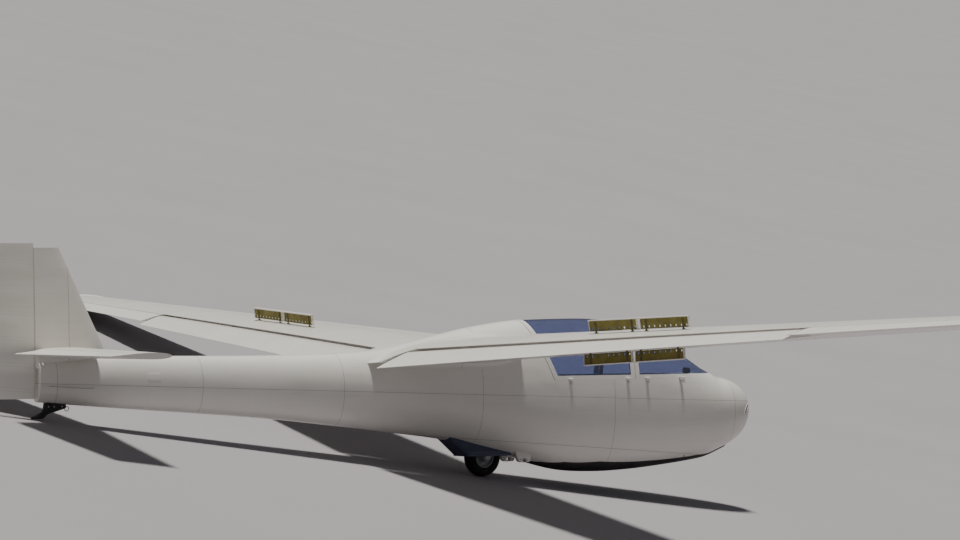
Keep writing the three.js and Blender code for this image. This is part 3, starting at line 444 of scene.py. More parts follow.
CABIN_PAINTS = {
    "cabin": ("cabin paint", (0.36, 0.385, 0.36), (0.46, 0.485, 0.455), 0.6),
    "panel": ("black crackle paint", (0.010, 0.010, 0.011), (0.022, 0.022, 0.024), 0.55),
    "dark": ("dark inside paint", (0.020, 0.020, 0.022), (0.045, 0.043, 0.040), 0.7),
    # The fairing's dark slate blue is partly its own paint and partly painted shade under the belly.
    "fairing": ("slate blue paint with painted shade", (0.045, 0.055, 0.10), (0.075, 0.085, 0.14), 0.4),
    "olive": ("olive paint", (0.085, 0.078, 0.03), (0.15, 0.135, 0.055), 0.6),
    "webbing": ("woven webbing", (0.05, 0.07, 0.13), (0.08, 0.11, 0.19), 0.75),
    "dial": ("dial black", (0.006, 0.006, 0.007), (0.012, 0.012, 0.013), 0.15),
    "white": ("mark white", (0.70, 0.70, 0.66), (0.80, 0.80, 0.76), 0.5),
    "red": ("red knob", (0.42, 0.02, 0.015), (0.52, 0.035, 0.02), 0.3),
    "yellow": ("yellow knob", (0.62, 0.42, 0.02), (0.72, 0.50, 0.03), 0.3),
    "blue": ("blue knob", (0.02, 0.07, 0.36), (0.03, 0.10, 0.45), 0.3),
    "green": ("green knob", (0.02, 0.20, 0.05), (0.03, 0.28, 0.07), 0.3),
}
FINISHES = {
    "fuselage": white_paint("white fuselage paint", fuselage_lines),
    "wing": white_paint("white wing paint", wing_lines, 0.28),
    "tail": white_paint("white tail paint", tail_lines),
    "cover": white_paint("white doped cover", cover_lines, 0.42, shade(0.78, 0.765, 0.71), 0.0006),
    "frame": white_paint("white frame paint", plain_lines, 0.36, shade(0.78, 0.77, 0.73), 0.0002),
    "primer": primer_paint(),
    "glazing": clear_acrylic(),
    "leather": leathercloth(),
    "steel": bare_steel(),
    "grey": bare_steel("grey enamel", shade(0.30, 0.31, 0.32), 0.42, 0.15),
    "rubber": tyre_rubber(),
    "skid": wear_plate_and_painted_shade(),
    **{key: cabin_paint(*values) for key, values in CABIN_PAINTS.items()},
}


# Mesh tools
def rows_of(bm, rows, closed=True):
    """A skin through rows of points; closed joins each row's end to its start."""
    made = [[bm.verts.new(point) for point in row] for row in rows]
    count = len(rows[0])
    for low, high in zip(made, made[1:]):
        for k in range(count if closed else count - 1):
            n = (k + 1) % count
            bm.faces.new((low[k], low[n], high[n], high[k]))
    return made


def cap_ends(bm, made):
    bm.faces.new(reversed(made[0]))
    bm.faces.new(made[-1])


def weld(bm, distance=1e-5):
    bmesh.ops.remove_doubles(bm, verts=bm.verts, dist=distance)


def outward(bm):
    bmesh.ops.recalc_face_normals(bm, faces=bm.faces)


def closed_form(bm, rows):
    """A closed form through rows of points, with its faces turned outward."""
    cap_ends(bm, rows_of(bm, rows))
    outward(bm)


def circle(sides):
    """The cosine and sine of even steps round a circle."""
    angles = [2 * math.pi * k / sides for k in range(sides)]
    return [(math.cos(angle), math.sin(angle)) for angle in angles]


def spin(place, k, count):
    """A place turned about its own Z by k of count even steps."""
    return place @ Matrix.Rotation(2 * math.pi * k / count, 4, "Z")


def axes_at(origin, x, y, z):
    """The matrix of a frame at an origin with these three axes."""
    return Matrix.Translation(origin) @ Matrix((x, y, z)).transposed().to_4x4()


def headings(points):
    """The way that a line runs at each of its points."""
    last = len(points) - 1
    return [(points[min(k + 1, last)] - points[max(k - 1, 0)]).normalized() for k in range(last + 1)]


def split(bm, point, normal, drop=False):
    """Cuts every face along a plane, and drops what lies on the normal's side if asked."""
    everything = bm.verts[:] + bm.edges[:] + bm.faces[:]
    bmesh.ops.bisect_plane(bm, geom=everything, dist=1e-6, plane_co=point, plane_no=normal, clear_outer=drop)


def drop_faces(bm, unwanted):
    gone = [face for face in bm.faces if unwanted(face.calc_center_median())]
    bmesh.ops.delete(bm, geom=gone, context="FACES")


def fill_holes(bm):
    edges = [edge for edge in bm.edges if edge.is_boundary]
    bmesh.ops.holes_fill(bm, edges=edges, sides=0)


def box(bm, low, high, matrix=Matrix()):
    """A block between two corners, in the axes of a matrix."""
    size = Vector(high) - Vector(low)
    place = Matrix.Translation((Vector(high) + Vector(low)) / 2) @ Matrix.Diagonal((*size, 1))
    bmesh.ops.create_cube(bm, size=1.0, matrix=matrix @ place)


def rod(bm, start, end, radius, sides=16):
    """A round rod between two points."""
    start, end = Vector(start), Vector(end)
    span = end - start
    place = Matrix.Translation((start + end) / 2) @ span.to_track_quat("Z", "Y").to_matrix().to_4x4()
    bmesh.ops.create_cone(
        bm, cap_ends=True, segments=sides, radius1=radius, radius2=radius, depth=span.length, matrix=place)


def turned(bm, profile, sides, place):
    """A lathe form from (radius, height) pairs about Z."""
    rows = [[place @ Vector((r * c, r * s, h)) for r, h in profile] for c, s in circle(sides)]
    rows_of(bm, [*rows, rows[0]], closed=False)
    weld(bm, 1e-6)


def tube(bm, points, radius, sides=10):
    """A round tube through points, with closed ends."""
    points = [Vector(point) for point in points]
    rows = []
    side = headings(points)[0].orthogonal().normalized()
    for point, ahead in zip(points, headings(points)):
        side = (side - ahead * side.dot(ahead)).normalized()
        other = ahead.cross(side)
        rows.append([point + radius * (c * side + s * other) for c, s in circle(sides)])
    cap_ends(bm, rows_of(bm, rows))


def ribbon(bm, points, width_axis, width, thickness):
    """A flat strap through points; width_axis lies across it."""
    points = [Vector(point) for point in points]
    across = Vector(width_axis).normalized() * width / 2
    rows = []
    for point, ahead in zip(points, headings(points)):
        rise = ahead.cross(across).normalized() * thickness / 2
        left, right = point - across, point + across
        rows.append([left - rise, right - rise, right + rise, left + rise])
    cap_ends(bm, rows_of(bm, rows))


def curve_through(points, steps=8):
    """A smooth Catmull-Rom line through points."""
    points = [Vector(point) for point in points]
    ends = [points[0] * 2 - points[1], *points, points[-1] * 2 - points[-2]]
    line = []
    for a, b, c, d in zip(ends, ends[1:], ends[2:], ends[3:]):
        for k in range(steps):
            t = k / steps
            line.append(0.5 * (2 * b + (c - a) * t + (2 * a - 5 * b + 4 * c - d) * t ** 2
                               + (3 * b - a - 3 * c + d) * t ** 3))
    return [*line, points[-1]]


def smooth_profile(pairs, steps):
    """A smooth line through pairs, such as the (radius, height) pairs of a lathe form."""
    line = curve_through([(first, second, 0) for first, second in pairs], steps)
    return [(point.x, point.y) for point in line]


def mirrored(bm):
    """The same form on the other side of the plane of symmetry."""
    other = bm.copy()
    bmesh.ops.scale(other, vec=(1, -1, 1), verts=other.verts)
    bmesh.ops.reverse_faces(other, faces=other.faces)
    return other


def piece(name, bm, finish, stands_for=(), body="airframe", smooth=40, bevel=0.0, wall=0.0, rounds=0,
          inner=None):
    """Turns a level mesh into the parked attitude, and makes it a piece that rides on its body."""
    bm.transform(LEVEL)
    mesh = bpy.data.meshes.new(name)
    bm.to_mesh(mesh)
    bm.free()
    made = bpy.data.objects.new(name, mesh)
    bpy.context.scene.collection.objects.link(made)
    mesh.materials.append(FINISHES[finish])
    if inner:
        mesh.materials.append(FINISHES[inner])
    if wall:
        thick = made.modifiers.new("wall", "SOLIDIFY")
        thick.thickness = wall
        thick.offset = -1
        thick.use_even_offset = False
        thick.material_offset = 1 if inner else 0
    if bevel:
        edge = made.modifiers.new("edge", "BEVEL")
        edge.width = bevel
        edge.segments = 2
        edge.limit_method = "ANGLE"
        edge.angle_limit = math.radians(40)
    if rounds:
        soft = made.modifiers.new("soft", "SUBSURF")
        soft.levels = soft.render_levels = rounds
    if made.modifiers:
        graph = bpy.context.evaluated_depsgraph_get()
        final = bpy.data.meshes.new_from_object(made.evaluated_get(graph))
        made.modifiers.clear()
        made.data = final
        bpy.data.meshes.remove(mesh)
        final.name = name
    made.data.shade_smooth()
    made.data.set_sharp_from_angle(angle=math.radians(smooth))
    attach(made, body)
    if stands_for:
        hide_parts(*stands_for)
    return made


def pair(name, port, finish, stands_for=(), body="airframe", **style):
    """A port form and its mirror image; a star in a name stands for the side."""
    for hand, bm in (("starboard", mirrored(port)), ("port", port)):
        names = [word.replace("*", hand) for word in stands_for]
        piece(name.replace("*", hand), bm, finish, names, body.replace("*", hand), **style)


# Fuselage form
def blend_rows(x, key):
    """One column of the fuselage table at x, on a smooth curve through its rows."""
    last = len(FUSELAGE) - 2
    row = next((k for k in range(last + 1) if x >= FUSELAGE[k + 1][0]), last)

    def slope(k):
        before, after = FUSELAGE[max(k - 1, 0)], FUSELAGE[min(k + 1, last + 1)]
        return (after[key] - before[key]) / (after[0] - before[0])

    front, rear = FUSELAGE[row], FUSELAGE[row + 1]
    step = rear[0] - front[0]
    t = (x - front[0]) / step
    start = (2 * t ** 3 - 3 * t ** 2 + 1) * front[key] + (t ** 3 - 2 * t ** 2 + t) * step * slope(row)
    return start + (3 * t ** 2 - 2 * t ** 3) * rear[key] + (t ** 3 - t ** 2) * step * slope(row + 1)


def skin_point(x, angle, inset=0.0):
    belly, crown, half, waist = [blend_rows(x, key) for key in (1, 2, 3, 4)]
    c, s = math.cos(angle), math.sin(angle)
    power = 2 / ROUNDNESS
    rise = crown - waist if s > 0 else waist - belly
    y = (half - inset) * math.copysign(abs(c) ** power, c)
    return Vector((x, y, waist + (rise - inset) * math.copysign(abs(s) ** power, s)))


def skin_height(x, y, inset=0.0, top=False):
    """Height of the skin's lower or upper half at a place."""
    belly, crown, half, waist = [blend_rows(x, key) for key in (1, 2, 3, 4)]
    across = min(1.0, abs(y) / (half - inset)) ** (ROUNDNESS / 2)
    share = math.sqrt(1 - across ** 2) ** (2 / ROUNDNESS)
    return waist + (crown - waist - inset) * share if top else waist - (waist - belly - inset) * share


def skin_half(x, z, inset=0.0):
    """Half the skin's width at a place and height."""
    belly, crown, half, waist = [blend_rows(x, key) for key in (1, 2, 3, 4)]
    rise = (crown - waist if z > waist else waist - belly) - inset
    up = min(1.0, abs(z - waist) / rise) ** (ROUNDNESS / 2)
    return (half - inset) * math.sqrt(1 - up ** 2) ** (2 / ROUNDNESS)


def stations(rear, front, pitch, extra=()):
    count = max(1, round((front - rear) / pitch))
    even = [rear + (front - rear) * k / count for k in range(count + 1)]
    kept = [x for x in even[1:-1] if all(abs(x - e) > pitch * 0.3 for e in extra)]
    return sorted({rear, front, *kept, *[e for e in extra if rear < e < front]})


def skin(rear, front, inset=0.0, pitch=0.030, extra=()):
    """The fuselage's skin between two places, open at both ends."""
    bm = bmesh.new()
    angles = [2 * math.pi * (k + 0.5) / SKIN_SIDES for k in range(SKIN_SIDES)]
    places = stations(rear, front, pitch, extra)
    rows_of(bm, [[skin_point(x, angle, inset) for angle in angles] for x in places])
    return bm


def trim_at_bulkhead(bm, offset, keep_ahead):
    """Drops what lies aft or ahead of a plane this far ahead of the sloping bulkhead's own."""
    normal = -BULKHEAD_NORMAL if keep_ahead else BULKHEAD_NORMAL
    split(bm, BULKHEAD_FOOT + BULKHEAD_NORMAL * offset, normal, drop=True)


HAIR = 0.0004
NOSE_TIP = FUSELAGE[0][0]
TAIL_END = FUSELAGE[-1][0]
NOSE_STEPS = (235, 205, 175, 150, 128, 109, 92, 78, 66, 55, 45, 36, 28, 21, 15, 10, 6, 2)
NOSE_STATIONS = [NOSE_TIP - back / 1000 for back in NOSE_STEPS]
BEHIND_BULKHEAD = 0.006


def nose_cap():
    bm = skin(NOSE_JOINT, NOSE_TIP, pitch=0.4, extra=NOSE_STATIONS)
    tip = [vert for vert in bm.verts if vert.co.x > NOSE_TIP - 0.0001]
    bmesh.ops.contextual_create(bm, geom=tip)
    piece("nose_shell", bm, "fuselage", ["nose_cap"], wall=0.016, smooth=50)


def cockpit_tub():
    bm = skin(0.40, NOSE_JOINT - HAIR, extra=(DECK_EDGE,))
    trim_at_bulkhead(bm, 0, True)
    split(bm, (0, 0, SILL), (0, 0, 1))
    drop_faces(bm, lambda c: c.z > SILL and c.x < DECK_EDGE)
    piece("cockpit_shell", bm, "fuselage", ["cockpit_tub"], wall=WALL, inner="cabin", smooth=50)
    wall = skin(0.30, 1.0, WALL * 0.8)
    trim_at_bulkhead(wall, 0.004, True)
    split(wall, (0, 0, SILL), (0, 0, 1), drop=True)
    trim_at_bulkhead(wall, WALL, False)
    fill_holes(wall)
    outward(wall)
    piece("rear_bulkhead", wall, "cabin", smooth=30)


def centre_fuselage():
    bm = skin(BOOM_JOINT + HAIR, 1.10, extra=(WELL["front"], WELL["rear"]))
    trim_at_bulkhead(bm, -HAIR, False)
    split(bm, SPINE_FOOT, SPINE_NORMAL, drop=True)
    for hand in (-1, 1):
        split(bm, (0, hand * WELL["half"], 0), (0, 1, 0))
    drop_faces(bm, lambda c: c.z < 0.5 and abs(c.y) < WELL["half"] and WELL["rear"] < c.x < WELL["front"])
    bulkhead = skin(0.30, 1.0, 0.001)
    trim_at_bulkhead(bulkhead, -HAIR, False)
    trim_at_bulkhead(bulkhead, -BEHIND_BULKHEAD, True)
    fill_holes(bulkhead)
    outward(bulkhead)
    piece("centre_shell", bm, "fuselage", ["centre_fuselage"],
          wall=0.004, inner="dark", smooth=50)
    piece("wing_bulkhead", bulkhead, "cabin", smooth=30)
    well = bmesh.new()
    rows = []
    half, top = WELL["half"], WELL["top"]
    for x in stations(WELL["rear"], WELL["front"], 0.04):
        low = skin_height(x, half)
        rows.append([Vector((x, y, z)) for y, z in ((-half, low), (-half, top), (half, top), (half, low))])
    made = rows_of(well, rows, closed=False)
    for row in (made[0], made[-1]):
        well.faces.new(row)
    piece("wheel_well", well, "dark", smooth=30)


def dorsal_fairing():
    bm = skin(BOOM_JOINT + HAIR, 1.10)
    trim_at_bulkhead(bm, -HAIR, False)
    split(bm, SPINE_FOOT + SPINE_NORMAL * HAIR, -SPINE_NORMAL, drop=True)
    piece("hump_shell", bm, "fuselage", ["dorsal_fairing"], wall=0.004, inner="dark", smooth=50)


def tail_boom():
    bm = skin(TAIL_END, BOOM_JOINT, pitch=0.05)
    end = [edge for edge in bm.edges if edge.is_boundary and edge.verts[0].co.x < TAIL_END + 0.05]
    bmesh.ops.contextual_create(bm, geom=end)
    piece("boom_shell", bm, "fuselage", ["tail_boom"], smooth=50)


# Hoods
HOOD = {"rail": 0.042, "arch": 0.045, "frame": 0.020, "glass_out": 0.005, "glass": 0.005}
HOOD_GAP = 0.006
HOODS = {
    "front": {"from": HOOD_SPLIT + 0.003, "to": DECK_EDGE - 0.006},
    "rear": {"from": 0.0, "to": HOOD_SPLIT - 0.003},
}


def hood_shell(hood, inset):
    """The skin above the sill between a hood's ends, split where its frame's bands end."""
    bands = (hood["from"] + HOOD["arch"], hood["to"] - HOOD["arch"])
    low = max(hood["from"], 0.35)
    bm = skin(low, hood["to"], inset, 0.025, [x for x in bands if x > low])
    split(bm, (0, 0, SILL + 0.0006), (0, 0, -1), drop=True)
    split(bm, (0, 0, SILL + HOOD["rail"]), (0, 0, 1))
    if hood["from"] < 0.1:
        trim_at_bulkhead(bm, HOOD_GAP, True)
        split(bm, BULKHEAD_FOOT + BULKHEAD_NORMAL * (HOOD_GAP + HOOD["arch"]), BULKHEAD_NORMAL)
    return bm


def in_frame(hood, centre):
    if centre.z < SILL + HOOD["rail"] or centre.x > hood["to"] - HOOD["arch"]:
        return True
    if hood["from"] < 0.1:
        return (centre - BULKHEAD_FOOT).dot(BULKHEAD_NORMAL) < HOOD_GAP + HOOD["arch"]
    return centre.x < hood["from"] + HOOD["arch"]


def hoods():
    for name, hood in HOODS.items():
        frame_mesh = hood_shell(hood, 0.0)
        drop_faces(frame_mesh, lambda c: not in_frame(hood, c))
        piece(f"{name}_hood_rail", frame_mesh, "frame", [f"{name}_hood_frame"], f"{name}_hood",
              wall=HOOD["frame"], smooth=45)
        glass = hood_shell(hood, HOOD["glass_out"])
        drop_faces(glass, lambda c: in_frame(hood, c))
        piece(f"{name}_hood_window", glass, "glazing", [f"{name}_hood_glass"], f"{name}_hood",
              wall=HOOD["glass"], smooth=60)


# Wing form: u runs aft and v up, in parts of the chord
def chord_at(y):
    return ROOT_CHORD - TAPER * y


def half_thickness(u, thickness):
    series = 0.2969 * math.sqrt(u) - 0.126 * u - 0.3516 * u ** 2 + 0.2843 * u ** 3 - 0.1015 * u ** 4
    return 5 * thickness * series


def camber_line(u):
    p = CAMBER_PLACE
    if u < p:
        return CAMBER / p ** 2 * (2 * p * u - u ** 2)
    return CAMBER / (1 - p) ** 2 * (1 - 2 * p + 2 * p * u - u ** 2)


def surface(y, u, side):
    """Height of the upper (side 1) or lower (side -1) skin."""
    thickness = ROOT_THICKNESS + (TIP_THICKNESS - ROOT_THICKNESS) * y / WING_END
    return camber_line(u) + side * half_thickness(u, thickness)


def wing_point(y, u, v):
    angle = ROOT_SET + (TIP_SET - ROOT_SET) * y / WING_END
    aft = Vector((-math.cos(angle), 0, -math.sin(angle)))
    rise = Vector((-math.sin(angle), 0, math.cos(angle)))
    start = Vector((NOSE + SWEEP * y, y, WING_HEIGHT + DIHEDRAL * y))
    return start + (aft * u + rise * v) * chord_at(y)


def chord_steps(first, last):
    """Places along the chord from first to last, close together at the nose."""
    if first == 0.0:
        return [last * (1 - math.cos(math.pi / 2 * k / 26)) for k in range(27)]
    count = 8 if last < 0.8 else 12
    return [first + (last - first) * k / count for k in range(count + 1)]


def brake_place(side):
    return BRAKE["upper"] if side > 0 else BRAKE["lower"]


def brake_edges(y, side):
    u, half = brake_place(side), BRAKE_MOUTH / chord_at(y)
    return u - half, u + half


def skin_line(y, side, last):
    """The upper or lower skin from its nose to a place, with points on the airbrake's edges."""
    low, high = brake_edges(y, side)
    steps = [*chord_steps(0.0, low), *chord_steps(high, last)]
    return [wing_point(y, u, surface(y, u, side)) for u in steps]


def wing_strip(bm, places, upper_end, lower_end, back=None):
    """The wing's skin over a span, ending aft at two places; back gives the points of its rear wall."""
    rows = []
    for y in places:
        rear = [wing_point(y, u, v) for u, v in (back(y) if back else [])]
        rows.append([*reversed(skin_line(y, 1, upper_end)), *skin_line(y, -1, lower_end)[1:], *rear])
    return rows_of(bm, rows)


def bay_end(bm, y, upper_end, lower_end, back):
    """The rib that closes the whole section beside a bay."""
    tops = [upper_end + (1 - upper_end) * k / 12 for k in range(13)]
    unders = [1 - (1 - lower_end) * k / 12 for k in range(13)]
    outline = [(u, surface(y, u, 1)) for u in tops] + [(u, surface(y, u, -1)) for u in unders] + back(y)
    bm.faces.new([bm.verts.new(wing_point(y, u, v)) for u, v in outline])


def flap_bay(y):
    """The cove that the flap runs into, from the lower skin up to the upper skin's lip."""
    front, lip = COVE_FRONT, COVE_LIP
    ceiling = surface(y, front, 1) - 0.008
    return [
        (front, surface(y, front, -1) + 0.004), (front + 0.002, ceiling - 0.03),
        (front + 0.012, ceiling - 0.006), (front + 0.035, ceiling - 0.001),
        (lip, surface(y, lip, 1) - 0.003),
    ]


def aileron_bay(y):
    """The rear spar ahead of the aileron, and the shrouds over its nose."""
    front, shroud = AILERON["front"], AILERON["shroud"]
    skin_sheet = 0.0022 / chord_at(y)
    return [
        (shroud, surface(y, shroud, -1) + skin_sheet), (front, surface(y, front, -1) + skin_sheet * 1.5),
        (front, surface(y, front, 1) - skin_sheet * 1.5), (shroud, surface(y, shroud, 1) - skin_sheet),
    ]


def brake_pocket(bm, places, side):
    """The recess for an airbrake's cap and the slot for its plates, cut the way that they slide."""
    inward = brake_frame(side).to_3x3() @ Vector((0, 0, -1))
    rows = []
    for y in places:
        low, high = brake_edges(y, side)
        middle, narrow = (low + high) / 2, BRAKE_SLOT / chord_at(y)
        front, rear = middle - narrow, middle + narrow
        section = [(low, 0), (low, BRAKE_RECESS), (front, BRAKE_RECESS), (front, BRAKE_DEPTH),
                   (rear, BRAKE_DEPTH), (rear, BRAKE_RECESS), (high, BRAKE_RECESS), (high, 0)]
        rows.append([wing_point(y, u, surface(y, u, side)) + inward * depth for u, depth in section])
    rows_of(bm, rows, closed=False)
    for row in (rows[0], rows[-1]):
        bm.faces.new([bm.verts.new(point) for point in row])


def slot_edges(arm):
    """The sides of the opening for an arm, which lies square to the flap and so a little askew."""
    middle = arm + FLAP_RAKE * (FLAP_PIVOT[0] - COVE_FRONT) * chord_at(arm)
    return middle - FLAP_SLOT, middle + FLAP_SLOT


def flap_slot(bm, near, far, depth):
    """An opening for a flap arm in the cove's front wall, between two rows of the wing's skin."""
    corners = (near[-5], near[-4], far[-4], far[-5])
    bm.faces.remove(bm.faces.get(corners))
    deep = [bm.verts.new(corner.co + Vector((depth, depth * FLAP_RAKE, 0))) for corner in corners]
    for k in range(4):
        n = (k + 1) % 4
        bm.faces.new((corners[k], corners[n], deep[n], deep[k]))
    bm.faces.new(deep)


def span_steps(start, end):
    return stations(start, end, 0.22)


def brake_mouth(bm, side):
    """The faces of the wing's skin where an airbrake comes out."""
    found = []
    for face in bm.faces:
        centre = face.calc_center_median()
        if BRAKE["inner"] < centre.y < BRAKE["outer"]:
            chord = chord_at(centre.y)
            u = (NOSE + SWEEP * centre.y - centre.x) / chord
            height = (wing_point(centre.y, u, surface(centre.y, u, side)) - centre).length
            if abs(u - brake_place(side)) * chord < BRAKE_MOUTH * 0.6 and height < 0.01:
                found.append(face)
    return found


def wing():
    """The port wing."""
    bm = bmesh.new()
    brake_span = span_steps(BRAKE["inner"], BRAKE["outer"])
    slots = [slot_edges(arm) for arm in FLAP_ARMS]
    flap_span = [
        *span_steps(FLAP["bay_in"], BRAKE["inner"])[:-1], *brake_span,
        *span_steps(BRAKE["outer"], FLAP["bay_out"])[1:],
    ]
    flap_span = [y for y in flap_span if not any(low < y < high for low, high in slots)]
    flap_span = sorted([*flap_span, *[edge for edges in slots for edge in edges]])
    wing_strip(bm, span_steps(0.10, FLAP["bay_in"]), 1.0, 1.0)
    flap_rows = wing_strip(bm, flap_span, COVE_LIP, COVE_FRONT, flap_bay)
    for arm in FLAP_ARMS:
        k = flap_span.index(slot_edges(arm)[0])
        flap_slot(bm, flap_rows[k], flap_rows[k + 1], FLAP_SLOT_DEPTH * chord_at(arm))
    wing_strip(bm, [FLAP["bay_out"], AILERON["bay_in"]], 1.0, 1.0)
    shroud = AILERON["shroud"]
    outer = wing_strip(bm, span_steps(AILERON["bay_in"], WING_END), shroud, shroud, aileron_bay)
    bm.faces.new(outer[-1])
    for y in (FLAP["bay_in"], FLAP["bay_out"]):
        bay_end(bm, y, COVE_LIP, COVE_FRONT, flap_bay)
    bay_end(bm, AILERON["bay_in"], shroud, shroud, aileron_bay)
    weld(bm)
    bmesh.ops.delete(bm, geom=brake_mouth(bm, 1) + brake_mouth(bm, -1), context="FACES")
    for side in (1, -1):
        brake_pocket(bm, brake_span, side)
    weld(bm, 2e-5)
    outward(bm)
    return bm


def wings():
    pair("wing_skin_*", wing(), "wing", ["wing_*"], smooth=32)


def turn_about(bm, start, end, angle):
    bmesh.ops.rotate(bm, cent=start, matrix=Matrix.Rotation(angle, 3, end - start), verts=bm.verts)


def flap_axis():
    """Two points of the line below the wing that the port flap swings about."""
    return wing_point(FLAP["inner"], *FLAP_PIVOT), wing_point(FLAP["outer"], *FLAP_PIVOT)


def hinge_axes(inner, outer):
    """Axes ahead of, along and above the line through two points."""
    along = (outer - inner).normalized()
    rise = Vector((1, 0, 0)).cross(along).normalized()
    return along.cross(rise), along, rise


def flap():
    """The port flap, swung down as it is when parked."""
    bm = bmesh.new()
    rows = []
    for y in stations(FLAP["inner"], FLAP["outer"], 0.25):
        top = [(u, surface(y, u, 1)) for u in (1.0, 0.96, 0.9, 0.85, 0.8)]
        shoulder = [(0.775, surface(y, 0.775, 1) - 0.0015), (0.755, surface(y, 0.755, 1) - 0.007),
                    (0.735, surface(y, 0.735, 1) - 0.0135), (0.712, surface(y, 0.712, 1) - 0.020),
                    (0.693, surface(y, 0.693, 1) - 0.029), (0.682, surface(y, 0.682, 1) - 0.040)]
        nose = [(0.6775, surface(y, 0.677, 1) - 0.053), (0.6775, surface(y, 0.677, -1) + 0.022),
                (0.681, surface(y, 0.681, -1) + 0.011), (0.690, surface(y, 0.690, -1) + 0.004)]
        under = [(u, surface(y, u, -1)) for u in (0.71, 0.76, 0.82, 0.88, 0.94, 1.0)]
        rows.append([wing_point(y, u, v) for u, v in [*top, *shoulder, *nose, *under]])
    closed_form(bm, rows)
    turn_about(bm, *flap_axis(), -FLAP["droop"])
    return bm


def sag(y, start, end, depth=0.0028):
    """How far a fabric cover sinks between its ribs."""
    share = (y - start) / (end - start)
    bays = max(1, round((end - start) / COVER_BAY))
    return depth * abs(math.sin(math.pi * share * bays)) ** 0.8


def aileron():
    """The port aileron, with its cover drawn down between the ribs."""
    bm = bmesh.new()
    hinge = AILERON["hinge"]
    start, end = AILERON["inner"], AILERON["outer"]
    rows = []
    for y in stations(start, end, 0.045):
        radius = (surface(y, hinge, 1) - surface(y, hinge, -1)) / 2
        middle = (surface(y, hinge, 1) + surface(y, hinge, -1)) / 2
        sink = sag(y, start, end) / chord_at(y)
        angles = [math.radians(a) for a in range(90, -91, -15)]
        nose = [(hinge - radius * math.cos(a), middle + radius * math.sin(a)) for a in angles]
        sunk = [(u, sink * min(1.0, (0.97 - u) / 0.1)) for u in (0.80, 0.84, 0.88, 0.92, 0.96)]
        top = [(u, surface(y, u, 1) - depth) for u, depth in reversed(sunk)]
        under = [(u, surface(y, u, -1) + depth) for u, depth in sunk]
        outline = [(1.0, surface(y, 1.0, 1)), *top, *nose, *under, (1.0, surface(y, 1.0, -1))]
        rows.append([wing_point(y, u, v) for u, v in outline])
    closed_form(bm, rows)
    return bm


SPINDLE = ((0, 0), (0.01, 0.2), (0.03, 0.36), (0.1, 0.66), (0.22, 0.9), (0.4, 1), (0.6, 0.93), (0.8, 0.62),
           (0.94, 0.25), (0.985, 0.08), (1, 0))


def tip_body():
    """The spindle at the port wing's end."""
    bm = bmesh.new()
    length = TIP_BODY["front"] - TIP_BODY["rear"]
    line = smooth_profile(SPINDLE, 5)
    profile = [(max(width, 0) * TIP_BODY["radius"], -share * length) for share, width in line]
    nose = Matrix.Translation((TIP_BODY["front"], TIP_BODY["y"], WING_HEIGHT + DIHEDRAL * TIP_BODY["y"]))
    turned(bm, profile, 48, nose @ Matrix.Rotation(math.pi / 2, 4, "Y"))
    outward(bm)
    return bm


def brake_frame(side):
    """The axes of an airbrake: X square to it, Y along it and Z out of the wing."""
    u = brake_place(side)
    middle = (BRAKE["inner"] + BRAKE["outer"]) / 2

    def at(y, place):
        return wing_point(y, place, surface(y, place, side))

    along = (at(BRAKE["outer"], u) - at(BRAKE["inner"], u)).normalized()
    ahead = (at(middle, u - 0.02) - at(middle, u + 0.02)).normalized()
    out = ahead.cross(along).normalized()
    square = along.cross(out)
    if side < 0:
        along, out = -along, -out
    return axes_at(at(middle, u), square, along, out)


BRAKE_ARMS = (-0.560, -0.090, 0.090, 0.560)
BRAKE_GAP = 0.044
LIGHTENING_HOLES = 9
SHEET_HALF = 0.0012


def pierced_plate(bm, low, high, bottom, top, place):
    """A plate between two places along Y, with a row of flanged holes near its bottom."""
    pitch = (high - low) / LIGHTENING_HOLES
    radius, margin, lip = 0.011, 0.020, 0.0045
    height = bottom + margin
    for k in range(LIGHTENING_HOLES):
        centre = low + pitch * k + pitch / 2
        ring = [(centre + radius * c, height + radius * s) for c, s in circle(16)]
        square = [(centre + c / max(abs(c), abs(s)) * pitch / 2, height + s / max(abs(c), abs(s)) * margin)
                  for c, s in circle(16)]

        def row(x, outline):
            return [place @ Vector((x, y, z)) for y, z in outline]

        for x in (-SHEET_HALF, SHEET_HALF):
            rows_of(bm, [row(x, square), row(x, ring)])
        rows_of(bm, [row(-SHEET_HALF, ring), row(lip, ring)])
    box(bm, (-SHEET_HALF, low, height + margin), (SHEET_HALF, high, top), place)


